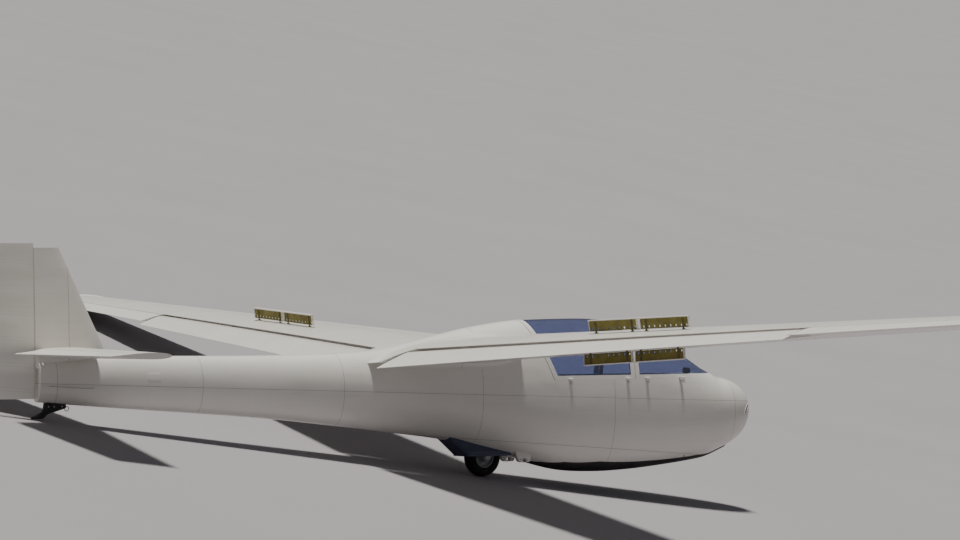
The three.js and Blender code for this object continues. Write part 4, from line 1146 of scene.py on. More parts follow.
def brake(side):
    """A port airbrake run out: two plates under one cap strip, on four arms."""
    place = brake_frame(side)
    half = (BRAKE["outer"] - BRAKE["inner"]) / 2 - 0.006
    top = BRAKE["out"] - 0.004
    bottom = top - BRAKE["plate"]
    plates, cap, arms, ends = bmesh.new(), bmesh.new(), bmesh.new(), bmesh.new()
    for low, high in ((-half, -BRAKE_GAP / 2), (BRAKE_GAP / 2, half)):
        pierced_plate(plates, low, high, bottom, top, place)
        box(plates, (-SHEET_HALF, low, bottom), (0.0095, high, bottom + 0.0022), place)
        for k in range(1, LIGHTENING_HOLES):
            y = low + (high - low) * k / LIGHTENING_HOLES
            box(plates, (SHEET_HALF, y - 0.0035, bottom + 0.002), (0.0065, y + 0.0035, top), place)
        for start, end in ((low, low + 0.003), (high - 0.003, high)):
            box(ends, (-0.011, start, bottom), (0.011, end, top), place)
    box(cap, (-0.017, -half, top), (0.017, half, BRAKE["out"]), place)
    box(cap, (-0.017, -half, top - 0.004), (-0.0155, half, top), place)
    for y in BRAKE_ARMS:
        box(arms, (-0.0055, y - 0.011, 0.004), (-0.0015, y + 0.011, top - 0.002), place)
        box(arms, (-0.0110, y - 0.014, 0.004), (0.0110, y + 0.014, 0.010), place)
        for z in (top - 0.018, bottom + 0.055):
            rod(arms, place @ Vector((-0.0085, y, z)), place @ Vector((0.004, y, z)), 0.006, 12)
    return (("plates", "primer", plates), ("cap", "frame", cap),
            ("arms", "olive", arms), ("ends", "frame", ends))


def wing_movers():
    """Flaps, ailerons, airbrakes and tip bodies, each made for the port side and mirrored."""
    pair("flap_skin_*", flap(), "wing", ["flap_*"], "flap_*", smooth=35)
    pair("aileron_skin_*", aileron(), "cover", ["aileron_*"], "aileron_*", smooth=35)
    pair("tip_spindle_*", tip_body(), "frame", ["tip_body_*"], smooth=60)
    for key, side in (("upper", 1), ("lower", -1)):
        for part, finish, form in brake(side):
            pair(f"{key}_brake_{part}_*", form, finish, [f"{key}_brake_*"], f"{key}_brake_*", smooth=30)


# Tail surfaces, in the level machine's axes
TAIL_HEIGHT = 1.172
ELEVATOR_HINGE = -4.650
RUDDER_HINGE = -4.720
TAIL_HALF_SPAN = 1.725
PLANE_ROWS = (
    {"y": 0.0, "nose": -4.085, "tail": -5.065}, {"y": TAIL_HALF_SPAN, "nose": -4.330, "tail": -4.930},
)
FIN_ROWS = ({"z": 1.040, "nose": -3.900, "tail": -5.310}, {"z": 2.085, "nose": -4.440, "tail": -5.140})
RUDDER_ROWS = (
    {"z": 0.775, "nose": -3.900, "tail": -5.200}, FIN_ROWS[0], FIN_ROWS[1],
    {"z": 2.125, "nose": -4.480, "tail": -5.080},
)
FIN_SPAN = (FIN_ROWS[0]["z"], FIN_ROWS[1]["z"])
PLANE_THICKNESS = 0.095
FIN_THICKNESS = 0.075
RUNNING = 0.006


def fixed_outline(row, hinge, thickness):
    """A fixed tail surface's section up to the control's nose, as (x, half width) pairs on one side."""
    chord = row["nose"] - row["tail"]
    place = (row["nose"] - hinge) / chord
    radius = half_thickness(place, thickness) * chord
    end = place - (radius * 0.55 + RUNNING) / chord
    steps = [0.5 * (1 - math.cos(math.pi * k / 24)) * end for k in range(25)]
    return [(row["nose"] - step * chord, half_thickness(step, thickness) * chord) for step in steps]


def control_outline(row, hinge, thickness, sink):
    """A control surface's section: a round nose about its hinge, and a thin edge."""
    chord = row["nose"] - row["tail"]
    place = (row["nose"] - hinge) / chord
    radius = half_thickness(place, thickness) * chord
    nose = [(hinge + radius * math.cos(a), radius * math.sin(a))
            for a in [math.radians(angle) for angle in range(90, -91, -15)]]
    edge = half_thickness(1, thickness) * chord + 0.001
    side = []
    for share in (0.15, 0.3, 0.5, 0.7, 0.88):
        width = radius + (edge - radius) * share
        side.append((hinge + (row["tail"] - hinge) * share, width - sink * min(1, (1 - share) * 4)))
    under = [(x, -w) for x, w in side]
    return [(row["tail"], edge), *reversed(side), *nose, *under, (row["tail"], -edge)]


def between(rows, key, value):
    """The row at a place between the rows of a table."""
    for low, high in zip(rows, rows[1:]):
        if value <= high[key] + 1e-9:
            t = (value - low[key]) / (high[key] - low[key])
            return {k: low[k] + (high[k] - low[k]) * t for k in low}
    return rows[-1]


def on_tailplane(x, height, y):
    return Vector((x, y, TAIL_HEIGHT + height))


def on_fin(x, width, z):
    return Vector((x, width, z))


def fixed_surface(name, places, table, key, hinge, thickness, spot):
    """A fixed tail surface; spot turns a place in a section into a point."""
    bm = bmesh.new()
    rows = []
    for place in places:
        side = fixed_outline(between(table, key, abs(place)), hinge, thickness)
        whole = [*reversed(side), *[(x, -w) for x, w in side[1:]]]
        rows.append([spot(x, w, place) for x, w in whole])
    closed_form(bm, rows)
    piece(f"{name}_skin", bm, "tail", [name], smooth=35)


def tailplane():
    places = stations(-TAIL_HALF_SPAN, TAIL_HALF_SPAN, 0.15, (0.0,))
    fixed_surface("tailplane", places, PLANE_ROWS, "y", ELEVATOR_HINGE, PLANE_THICKNESS, on_tailplane)


def fin():
    places = stations(*FIN_SPAN, 0.12)
    fixed_surface("fin", places, FIN_ROWS, "z", RUDDER_HINGE, FIN_THICKNESS, on_fin)


CUT_OUT = {"rear": -5.090, "half": 0.284, "slope": 2.0}


def elevator():
    """Both elevator halves with their cut-out for the rudder, on one tube."""
    whole = bmesh.new()
    rows = []
    root = 0.060
    for y in stations(root, TAIL_HALF_SPAN, 0.045):
        row = between(PLANE_ROWS, "y", y)
        outline = control_outline(row, ELEVATOR_HINGE, PLANE_THICKNESS, sag(y, root, TAIL_HALF_SPAN))
        limit = CUT_OUT["rear"] + CUT_OUT["slope"] * max(0.0, CUT_OUT["half"] - y)
        rows.append([on_tailplane(max(x, limit) if x < ELEVATOR_HINGE else x, w, y) for x, w in outline])
    closed_form(whole, rows)
    other = mirrored(whole)
    mesh = bpy.data.meshes.new("other half")
    other.to_mesh(mesh)
    other.free()
    whole.from_mesh(mesh)
    bpy.data.meshes.remove(mesh)
    rod(whole, (ELEVATOR_HINGE, -0.09, TAIL_HEIGHT), (ELEVATOR_HINGE, 0.09, TAIL_HEIGHT), 0.014, 20)
    piece("elevator_cover", whole, "cover", ["elevator"], "elevator", smooth=35)


def rudder():
    bm = bmesh.new()
    rows = []
    low, high = RUDDER_ROWS[0]["z"], RUDDER_ROWS[-1]["z"]
    for z in stations(low, high, 0.045, FIN_SPAN):
        row = between(RUDDER_ROWS, "z", z)
        outline = control_outline(row, RUDDER_HINGE, FIN_THICKNESS, sag(z, low, high))
        rows.append([on_fin(x, w, z) for x, w in outline])
    closed_form(bm, rows)
    piece("rudder_cover", bm, "cover", ["rudder"], "rudder", smooth=35)


# Undercarriage
GROOVES = {"places": (0.016, 0.032), "half": 0.0022, "depth": 0.0035}


def tread_profile():
    """The tyre's section, from bead to bead, with its grooves."""
    side = [(0.097, -0.045), (0.104, -0.052), (0.122, -0.0615), (0.140, -0.0625), (0.156, -0.056),
            (0.167, -0.044), (0.1725, -0.030), (0.1745, -0.016)]
    profile = []
    for radius, width in smooth_profile([*side, (0.175, 0.0), *mirrored_pairs(side)], 4):
        grooved = any(abs(abs(width) - place) < GROOVES["half"] for place in GROOVES["places"])
        profile.append((min(radius, WHEEL_RADIUS) - (GROOVES["depth"] if grooved else 0.0), width))
    return [*profile, (0.097, 0.045), (0.097, -0.045)]


def mirrored_pairs(pairs):
    return [(first, -second) for first, second in reversed(pairs)]


def wheel():
    centre = Matrix.Translation((0, 0, WHEEL_RADIUS)) @ Matrix.Rotation(math.pi / 2, 4, "X")
    bm = bmesh.new()
    turned(bm, tread_profile(), 96, centre)
    outward(bm)
    piece("tyre_rubber", bm, "rubber", ["main_tyre"], "main_wheel", smooth=50)
    hub = bmesh.new()
    side = [(0.0125, -0.0665), (0.034, -0.0665), (0.038, -0.040), (0.046, -0.024), (0.078, -0.018),
            (0.084, -0.026), (0.088, -0.044), (0.0965, -0.046)]
    turned(hub, [*side, *mirrored_pairs(side), side[0]], 72, centre)
    for c, s in circle(6):
        x, z = 0.056 * c, WHEEL_RADIUS + 0.056 * s
        rod(hub, (x, -0.029, z), (x, 0.029, z), 0.0065, 6)
    outward(hub)
    piece("wheel_rim", hub, "grey", ["wheel_hub"], "main_wheel", smooth=35, bevel=0.0008)


# The belly plate's stations and half widths
SKID_ROWS = (
    (0.430, 0.014), (0.500, 0.062), (0.575, 0.101), (0.800, 0.165),
    (1.190, 0.189), (1.755, 0.166), (2.330, 0.131), (2.699, 0.070),
)
SKID_THICK = 0.011


def skid_half(x):
    """Half the belly plate's width at a place, straight between the rows of its table."""
    for (rear, low), (front, high) in zip(SKID_ROWS, SKID_ROWS[1:]):
        if x <= front + 1e-9:
            return low + (high - low) * (x - rear) / (front - rear)
    return SKID_ROWS[-1][1]


def belly_skid():
    """The wear plate along the belly, with a rolled edge and flush screws."""
    bm = bmesh.new()
    rows = []
    spread = [k / 10 for k in range(-10, 11)]
    for x in stations(0.430, 2.699, 0.03, [row[0] for row in SKID_ROWS]):
        half = skid_half(x)
        course = [(share, half * share, skin_height(x, half * share)) for share in spread]
        under = [Vector((x, y, z - SKID_THICK * min(1.0, 0.35 + 4 * (1 - abs(share)))))
                 for share, y, z in course]
        above = [Vector((x, y, z - 0.0006)) for share, y, z in reversed(course)]
        rows.append([*under, *above])
    closed_form(bm, rows)
    # The plate's near-black colour is partly its own and partly painted shade under the belly.
    piece("belly_plate", bm, "skid", ["belly_skid"], smooth=45)
    screws = bmesh.new()
    for k in range(13):
        x = 0.66 + k * 0.16
        for hand in (-1, 1):
            y = hand * (skid_half(x) - 0.022)
            spot = Vector((x, y, skin_height(x, y) - SKID_THICK))
            drop = Vector((0, skin_height(x, y + 0.002) - skin_height(x, y - 0.002), -0.004)).normalized()
            rod(screws, spot - drop * 0.002, spot + drop * 0.0008, 0.006, 12)
    piece("belly_plate_screws", screws, "skid", smooth=30)


def side_plate(bm, outline, low, high):
    """A plate from its side view (x, z) pairs, between two places across the machine."""
    cap_ends(bm, rows_of(bm, [[Vector((x, y, z)) for x, z in outline] for y in (low, high)]))


# A tow hook's housing from the side, and the middle of the hook in its mouth
HOOK_SIDE = (
    (0.268, 0.230), (0.284, 0.178), (0.300, 0.142), (0.312, 0.130), (0.328, 0.124),
    (0.350, 0.124), (0.350, 0.158), (0.384, 0.158), (0.384, 0.124), (0.412, 0.124),
    (0.427, 0.130), (0.436, 0.150), (0.440, 0.230),
)


HOOK_LINE = ((0.346, 0.150), (0.352, 0.134), (0.363, 0.1265), (0.376, 0.131), (0.379, 0.143))


def tow_hooks():
    """White housings beside the belly, each with a steel hook in its mouth."""
    for hand, sign in SIDES.items():
        housing = bmesh.new()
        low, high = sorted((sign * 0.108, sign * 0.152))
        side_plate(housing, HOOK_SIDE, low, high)
        outward(housing)
        piece(f"hook_housing_{hand}", housing, "frame", [f"tow_hook_{hand}"],
              smooth=30, bevel=0.0035)
        hook = bmesh.new()
        tube(hook, curve_through([(x, sign * 0.130, z) for x, z in HOOK_LINE], 5), 0.0055, 12)
        rod(hook, (0.392, sign * 0.106, 0.142), (0.392, sign * 0.157, 0.142), 0.006, 6)
        rod(hook, (0.324, sign * 0.106, 0.150), (0.324, sign * 0.157, 0.150), 0.006, 6)
        piece(f"hook_{hand}", hook, "steel", smooth=40)


FAIRING = {"front": 0.250, "rear": -0.430, "half": 0.116, "wall": 0.010, "low": 0.186, "tail": 0.350,
           "round": 0.030}


def fairing_cheeks(shell):
    """The plates on both sides of the wheel, up to the skin."""
    half, wall = FAIRING["half"], FAIRING["wall"]
    for sign in SIDES.values():
        rows = []
        for x in stations(WELL["rear"], FAIRING["front"], 0.02):
            edge = FAIRING["low"] + 0.004 * (1 - min(1.0, (FAIRING["front"] - x) / 0.03))
            inner, outer = sign * (half - wall), sign * half
            rows.append([Vector((x, inner, skin_height(x, inner) - HAIR)), Vector((x, inner, edge)),
                         Vector((x, outer, edge)), Vector((x, outer, skin_height(x, outer) - HAIR))])
        cap_ends(shell, rows_of(shell, rows))


def fairing_tail(shell):
    """The solid tail behind the wheel, with rounded lower edges."""
    half = FAIRING["half"]
    tail = []
    places = [half * (k / 10) for k in range(-10, 11)]
    for x in stations(FAIRING["rear"], WELL["rear"], 0.015):
        aft = (WELL["rear"] - x) / (WELL["rear"] - FAIRING["rear"])
        low = FAIRING["low"] + (FAIRING["tail"] - FAIRING["low"]) * aft
        under = []
        for y in places:
            corner = max(0.0, abs(y) - (half - FAIRING["round"])) / FAIRING["round"]
            height = low + FAIRING["round"] * (1 - math.sqrt(1 - corner ** 2))
            under.append(Vector((x, y, min(height, skin_height(x, y)))))
        above = [Vector((x, y, skin_height(x, y) - HAIR)) for y in reversed(places)]
        tail.append([*under, *above])
    cap_ends(shell, rows_of(shell, tail))


def wheel_fairing():
    """The fairing round the wheel, with two rows of rivets on each side."""
    shell = bmesh.new()
    fairing_cheeks(shell)
    fairing_tail(shell)
    outward(shell)
    # The fairing's dark slate blue is partly its own paint and partly painted shade under the belly.
    piece("fairing_shell", shell, "fairing", ["wheel_fairing"], smooth=35, bevel=0.0015)
    trim = bmesh.new()
    half = FAIRING["half"]
    for sign in SIDES.values():
        for k in range(15):
            x = -0.205 + 0.031 * k
            for z in (0.198, 0.222):
                rod(trim, (x, sign * (half - 0.002), z), (x, sign * (half + 0.0014), z), 0.0032, 8)
    piece("fairing_rivets", trim, "steel", smooth=30)


def wheel_leg():
    """The forked leg with its axle, bolts and the brake's hose."""
    bm = bmesh.new()
    outer = ((-0.034, 0.204), (-0.036, 0.172), (-0.030, 0.150), (-0.014, 0.138), (0.004, 0.136),
             (0.022, 0.142), (0.036, 0.154), (0.190, 0.330), (0.190, 0.404), (0.120, 0.404), (0.118, 0.345),
             (0.020, 0.216), (-0.010, 0.214))
    side = 0.0705
    for sign in SIDES.values():
        low, high = sorted((sign * side, sign * (side + 0.012)))
        side_plate(bm, outer, low, high)
    box(bm, (0.130, -side, 0.385), (0.190, side, 0.404))
    outward(bm)
    piece("leg_fork", bm, "grey", ["wheel_leg"], smooth=35, bevel=0.002)
    fittings = bmesh.new()
    rod(fittings, (0, -0.0865, WHEEL_RADIUS), (0, 0.0865, WHEEL_RADIUS), 0.012, 24)
    for sign in SIDES.values():
        for x, z, radius in ((0.0, WHEEL_RADIUS, 0.019), (0.155, 0.362, 0.014)):
            rod(fittings, (x, sign * 0.0822, z), (x, sign * 0.0905, z), radius, 6)
    piece("leg_bolts", fittings, "steel", smooth=35)
    brake_line = bmesh.new()
    line = [(0.028, 0.084, 0.168), (0.075, 0.088, 0.235), (0.12, 0.0855, 0.305), (0.15, 0.088, 0.40)]
    tube(brake_line, curve_through(line), 0.0035, 10)
    piece("wheel_brake_line", brake_line, "rubber", smooth=60)


def tail_skid():
    """A bent shoe under the boom's end, with its bolts and a ring to tie it down."""
    shoe = bmesh.new()
    under = smooth_profile([(-4.380, 0.690), (-4.470, 0.664), (-4.560, 0.640), (-4.600, 0.607),
                            (-4.650, 0.598), (-4.700, 0.596)], 5)
    back = [(-4.712, 0.612), (-4.640, 0.640), (-4.600, 0.660), (-4.588, 0.690), (-4.572, 0.780),
            (-4.380, 0.780)]
    side_plate(shoe, [*under, *back], -0.024, 0.024)
    split(shoe, (0, 0, 0.742), (0, 0, 1), drop=True)
    outward(shoe)
    piece("skid_shoe", shoe, "skid", ["tail_skid"], smooth=40, bevel=0.002)
    bolts = bmesh.new()
    for x in (-4.42, -4.50, -4.555):
        rod(bolts, (x, -0.0285, 0.705), (x, 0.0285, 0.705), 0.008, 6)
    ring = [(-4.36 + 0.020 * c, 0.0, 0.684 + 0.020 * s) for c, s in (*circle(24), (1.0, 0.0))]
    tube(bolts, ring, 0.0035, 10)
    piece("skid_bolts", bolts, "steel", smooth=35)


# Fairings between wing and fuselage
FILLET = {"up": 0.060, "out": 0.060, "limit": 0.321, "fade": 0.70, "least": 0.10}


def root_fillets():
    """A concave sheet all round the wing's root, from the wing's skin to the fuselage's."""
    rows = []
    steps = [0.5 * (1 - math.cos(math.pi * k / 44)) for k in range(45)]
    contour = [(u, 1) for u in reversed(steps)] + [(u, -1) for u in steps[1:]]
    crossings = []
    for u, side in contour:
        y = 0.3
        for _ in range(25):
            spot = wing_point(y, u, surface(y, u, side))
            y = skin_half(spot.x, spot.z)
        crossings.append((y, spot))
    flat = headings([Vector((spot.x, 0, spot.z)) for y, spot in crossings])
    for (u, side), (y, spot), along in zip(contour, crossings, flat):
        normal = Vector((-along.z, 0, along.x))
        if normal.dot(Vector((0, 0, side)) + Vector((0.2, 0, 0))) < 0:
            normal.negate()
        fade = min(1.0, max(0.0, (1 - u) / (1 - FILLET["fade"])))
        size = FILLET["least"] + (1 - FILLET["least"]) * fade * fade * (3 - 2 * fade)
        crown = blend_rows(spot.x, 2)
        reach = min(FILLET["up"] * size, (crown - spot.z) * 0.5) if side > 0 else FILLET["up"] * size
        body = spot + normal * reach
        body.y = skin_half(body.x, body.z)
        out = min(FILLET["limit"], y + FILLET["out"] * size)
        wing_side = wing_point(out, u, surface(out, u, side))
        row = []
        for s in range(9):
            t = s / 8
            point = wing_side * (1 - t) ** 2 + spot * 2 * t * (1 - t) + body * t ** 2
            row.append(point + (normal + Vector((0, 1, 0))) * 0.0007)
        rows.append(row)
    sheet = bmesh.new()
    rows_of(sheet, rows, closed=False)
    outward(sheet)
    pair("root_fillet_*", sheet, "wing", smooth=60)


def flap_arms():
    """The arms that carry the flaps, which run out of slots in the rear spar."""
    arms = bmesh.new()
    inner, outer = flap_axis()
    for y in FLAP_ARMS:
        place = axes_at(wing_point(y, FLAP_PIVOT[0], 0.012), *hinge_axes(inner, outer))
        chord = chord_at(y)
        box(arms, (-0.055 * chord, -0.007, -0.014), (0.075 * chord, 0.007, 0.014), place)
        box(arms, (-0.045 * chord, -0.010, -0.0145), (-0.030 * chord, 0.010, 0.0145), place)
    turn_about(arms, inner, outer, -FLAP["droop"])
    pair("flap_arms_*", arms, "grey", body="flap_*", smooth=30, bevel=0.0015)


def aileron_fittings():
    """Hinge tongues on the rear spar, with their pins."""
    tongues = bmesh.new()
    hinge = AILERON["hinge"]

    def middle(y):
        return wing_point(y, hinge, (surface(y, hinge, 1) + surface(y, hinge, -1)) / 2)

    for y in (5.600, 6.600, 7.600):
        place = axes_at(middle(y), *hinge_axes(middle(AILERON["inner"]), middle(AILERON["outer"])))
        box(tongues, (-0.012, -0.005, -0.008), (0.055 * chord_at(y), 0.005, 0.008), place)
        rod(tongues, place @ Vector((0, -0.009, 0)), place @ Vector((0, 0.009, 0)), 0.005, 12)
    pair("aileron_hinges_*", tongues, "grey", smooth=30)


HOOD_HINGE = {"y": -0.332, "z": 0.880, "radius": 0.005}
HINGE_PLACES = {"front": (1.620, 2.020), "rear": (0.760, 1.400)}
CATCH_PLACES = {"front": 1.86, "rear": 1.10}


def hood_hinges():
    """Hinges along the starboard sill: ears on the fuselage and lugs on the hoods."""
    y, z, radius = HOOD_HINGE["y"], HOOD_HINGE["z"], HOOD_HINGE["radius"]
    ears = bmesh.new()
    for name, places in HINGE_PLACES.items():
        lugs = bmesh.new()
        for x in places:
            skin_edge = -skin_half(x, SILL - 0.02)
            box(ears, (x + 0.009, y - 0.009, SILL - 0.038), (x + 0.021, skin_edge + 0.004, SILL - 0.003))
            box(ears, (x + 0.0092, y - 0.0088, SILL - 0.030), (x + 0.0208, y + 0.009, z))
            rod(ears, (x + 0.009, y, z), (x + 0.021, y, z), 0.009, 20)
            rod(ears, (x - 0.014, y, z), (x + 0.0225, y, z), radius, 16)
            lug_edge = -skin_half(x, SILL + 0.012)
            box(lugs, (x - 0.012, y, SILL + 0.0022), (x + 0.0085, lug_edge + 0.004, z + 0.0085))
            rod(lugs, (x - 0.012, y, z), (x + 0.0085, y, z), 0.0092, 20)
        piece(f"{name}_hood_lugs", lugs, "frame", body=f"{name}_hood", smooth=35, bevel=0.0008)
    piece("hood_hinge_ears", ears, "frame", smooth=35, bevel=0.0008)


def hood_catches():
    """Catches inside the port rails, each with a lever and a knob."""
    for name, x in CATCH_PLACES.items():
        catch = bmesh.new()
        edge = skin_half(x, SILL + 0.022, HOOD["frame"])
        box(catch, (x - 0.030, edge - 0.010, SILL + 0.008), (x + 0.030, edge + 0.001, SILL + 0.034))
        rod(catch, (x, edge - 0.006, SILL + 0.021), (x, edge - 0.024, SILL + 0.021), 0.006, 16)
        lever = [(x, edge - 0.022, SILL + 0.021), (x + 0.020, edge - 0.024, SILL + 0.024),
                 (x + 0.052, edge - 0.022, SILL + 0.030)]
        tube(catch, curve_through(lever), 0.0045, 12)
        piece(f"{name}_hood_catch", catch, "steel", body=f"{name}_hood", smooth=40, bevel=0.0008)
        knob = bmesh.new()
        ball(knob, Vector((x + 0.056, edge - 0.022, SILL + 0.031)), 0.0095)
        piece(f"{name}_catch_knob", knob, "red", body=f"{name}_hood", smooth=60)


def ball(bm, centre, radius, stretch=Vector((1, 1, 1))):
    place = Matrix.Translation(centre) @ Matrix.Diagonal((*(stretch * radius), 1))
    bmesh.ops.create_uvsphere(bm, u_segments=20, v_segments=14, radius=1.0, matrix=place)


# Cockpit
FLOOR_TOP = 0.1404
ON_FLOOR = FLOOR_TOP + HAIR
SEAT_FEET = {"front": 1.760, "rear": 1.030}
PANEL_PLACES = {"front": (2.290, 0.470, 0.862), "rear": (1.445, 0.560, 0.862)}
DIALS = {
    "front": ((-0.105, 0.785, 0.040), (0.0, 0.785, 0.040), (0.105, 0.785, 0.040), (-0.055, 0.688, 0.040),
              (0.055, 0.688, 0.040), (-0.160, 0.690, 0.029), (0.160, 0.690, 0.029), (0.0, 0.600, 0.029)),
    "rear": ((-0.105, 0.790, 0.040), (0.0, 0.790, 0.040), (0.105, 0.790, 0.040), (-0.055, 0.693, 0.040),
             (0.055, 0.693, 0.040), (-0.160, 0.700, 0.029)),
}
NEEDLES = (0.4, -1.1, 2.3, 0.9, -2.2, 1.6, -0.6, 2.9)


def board_outline(x, low, high):
    """The inside of the cockpit at x, between two heights, as (y, z) pairs."""
    heights = [low + (high - low) * k / 14 for k in range(15)]
    side = [(skin_half(x, z, WALL + 0.0006), z) for z in heights]
    return side + [(-y, z) for y, z in reversed(side)]


FACING = Matrix(((0, 0, -1), (0, 1, 0), (1, 0, 0))).to_4x4()


def dial(rings, faces, marks, screws, place, radius, needle):
    """One instrument: its rim and face, the marks and the needle on it, and four screws."""
    rim = [(radius + 0.006, -0.001), (radius + 0.006, 0.004), (radius + 0.003, 0.0075),
           (radius, 0.0075), (radius - 0.0025, 0.002), (radius - 0.0025, -0.001)]
    turned(rings, rim, 40, place)
    edge = radius - 0.002
    turned(faces, [(0.0, 0.0018), (edge, 0.0018), (edge, -0.001), (0.0, -0.001)], 36, place)
    for k in range(12):
        box(marks, (radius * 0.70, -0.0007, 0.0017), (radius * 0.86, 0.0007, 0.0023), spin(place, k, 12))
    turn = place @ Matrix.Rotation(needle, 4, "Z")
    box(marks, (-0.006, -0.0009, 0.0030), (radius * 0.66, 0.0009, 0.0036), turn)
    ball(marks, place @ Vector((0, 0, 0.003)), 0.003)
    for k in range(4):
        corner = spin(place, k + 0.5, 4) @ Vector((radius + 0.0095, 0, 0))
        rod(screws, corner, corner + Vector((-0.002, 0, 0)), 0.0028, 8)


def instrument_panels():
    for name, (x, low, high) in PANEL_PLACES.items():
        board = bmesh.new()
        outline = board_outline(x, low, high)
        closed_form(board, [[Vector((px, y, z)) for y, z in outline] for px in (x, x + 0.018)])
        piece(f"{name}_board", board, "panel", [f"{name}_panel"], smooth=30, bevel=0.0015)
        rings, faces, marks, screws = bmesh.new(), bmesh.new(), bmesh.new(), bmesh.new()
        for (y, z, radius), needle in zip(DIALS[name], NEEDLES):
            dial(rings, faces, marks, screws, Matrix.Translation((x, y, z)) @ FACING, radius, needle)
        for k in range(5):
            spot = Vector((x, -0.17 + 0.022 * k, low + 0.045))
            rod(screws, spot, spot + Vector((-0.010, 0, 0)), 0.0045, 12)
            rod(screws, spot + Vector((-0.010, 0, 0)), spot + Vector((-0.022, 0, 0.008)), 0.0022, 8)
        piece(f"{name}_dial_rings", rings, "dark", smooth=40)
        piece(f"{name}_dial_faces", faces, "dial", smooth=40)
        piece(f"{name}_dial_marks", marks, "white", smooth=40)
        piece(f"{name}_panel_screws", screws, "steel", smooth=40)
        knobs = bmesh.new()
        for y, reach in ((0.150, 0.040), (0.205, 0.030)):
            spot = Vector((x, y, low + 0.050))
            rod(knobs, spot, spot - Vector((reach, 0, 0)), 0.003, 10)
            ball(knobs, spot - Vector((reach + 0.006, 0, 0)), 0.012)
        piece(f"{name}_release_knobs", knobs, "yellow", smooth=60)


def panel_shroud():
    """The hood over the front instruments."""
    x, _, high = PANEL_PLACES["front"]
    shroud = bmesh.new()
    edge = [math.radians(a) for a in range(0, 181, 10)]
    rows = []
    for k in range(9):
        px = x - 0.060 + 0.210 * k / 8
        half = min(0.200, skin_half(px, high - 0.004, WALL + 0.004))
        lift = 0.040 + 0.012 * math.sin(math.pi * k / 8) - 0.008 * k / 8
        rows.append([Vector((px, half * math.cos(a), high - 0.004 + lift * math.sin(a))) for a in edge])
    rows_of(shroud, rows, closed=False)
    piece("panel_shroud", shroud, "panel", smooth=60, wall=0.004)


def compass():
    """A compass on the shroud, facing aft."""
    x, _, high = PANEL_PLACES["front"]
    case, card = bmesh.new(), bmesh.new()
    place = Matrix.Translation((x - 0.004, 0, high + 0.072)) @ FACING
    turned(case, [(0.0, -0.052), (0.018, -0.050), (0.027, -0.040), (0.030, -0.024), (0.030, -0.002),
                  (0.033, 0.0), (0.033, 0.007), (0.029, 0.010), (0.027, 0.006), (0.027, 0.001),
                  (0.0, 0.001)], 36, place)
    box(case, (x + 0.006, -0.014, high + 0.026), (x + 0.038, 0.014, high + 0.046))
    for k in range(16):
        reach = 0.024 if k % 4 == 0 else 0.0215
        box(card, (0.018, -0.0006, 0.0008), (reach, 0.0006, 0.0016), spin(place, k, 16))
    box(card, (-0.0008, -0.015, 0.0030), (0.0008, 0.015, 0.0038), place)
    piece("compass", case, "dial", smooth=40, bevel=0.0006)
    piece("compass_card", card, "white", smooth=40)


def seat_sheet(foot):
    """Side view of a seat's sheet: the pan's front edge, the pan, the bend and the back."""
    line = [(foot + 0.420, 0.160), (foot + 0.420, 0.222), (foot + 0.400, 0.2335), (foot + 0.20, 0.2145),
            (foot + 0.02, 0.1965), (foot - 0.012, 0.212), (foot - 0.08, 0.372), (foot - 0.16, 0.560),
            (foot - 0.235, 0.733)]
    return [Vector((x, 0, z)) for x, z in line]


# A seat's side from its rolled edge inward, as shares of its half width and heights
SEAT_SIDE = ((-1, 0.030), (-1, 0.012), (-0.985, 0.003), (-0.95, 0.0), (-0.5, 0.0))
FLAT_FRONT = 8


def seats():
    """Pressed seats with rolled sides, on legs and a strut behind the back."""
    for name, foot in SEAT_FEET.items():
        bm = bmesh.new()
        line = curve_through(seat_sheet(foot), 4)
        rows = []
        for k, (point, ahead) in enumerate(zip(line, headings(line))):
            rise = Vector((0, 1, 0)).cross(ahead).normalized()
            if rise.z < 0 and k > FLAT_FRONT:
                rise.negate()
            half = min(0.210, skin_half(point.x, max(point.z, 0.17), WALL + 0.003))
            raised = 1.0 if k > FLAT_FRONT else 0.0
            section = [*SEAT_SIDE, (0.0, 0.0), *[(-share, lift) for share, lift in reversed(SEAT_SIDE)]]
            rows.append([point + Vector((0, half * share, 0)) + rise * lift * raised
                         for share, lift in section])
        rows_of(bm, rows, closed=False)
        piece(f"{name}_bucket", bm, "cabin", [f"{name}_seat"], smooth=50, wall=0.003)
        legs = bmesh.new()
        for y in (-0.15, 0.15):
            for rear, front, top in ((0.39, 0.412, 0.225), (-0.01, 0.012, 0.190)):
                box(legs, (foot + rear, y - 0.012, ON_FLOOR), (foot + front, y + 0.012, top))
            strut = [(foot - 0.225, y, 0.700), (foot - 0.215, y, 0.45), (foot - 0.170, y, 0.145)]
            tube(legs, strut, 0.011, 12)
        piece(f"{name}_seat_legs", legs, "grey", smooth=35)


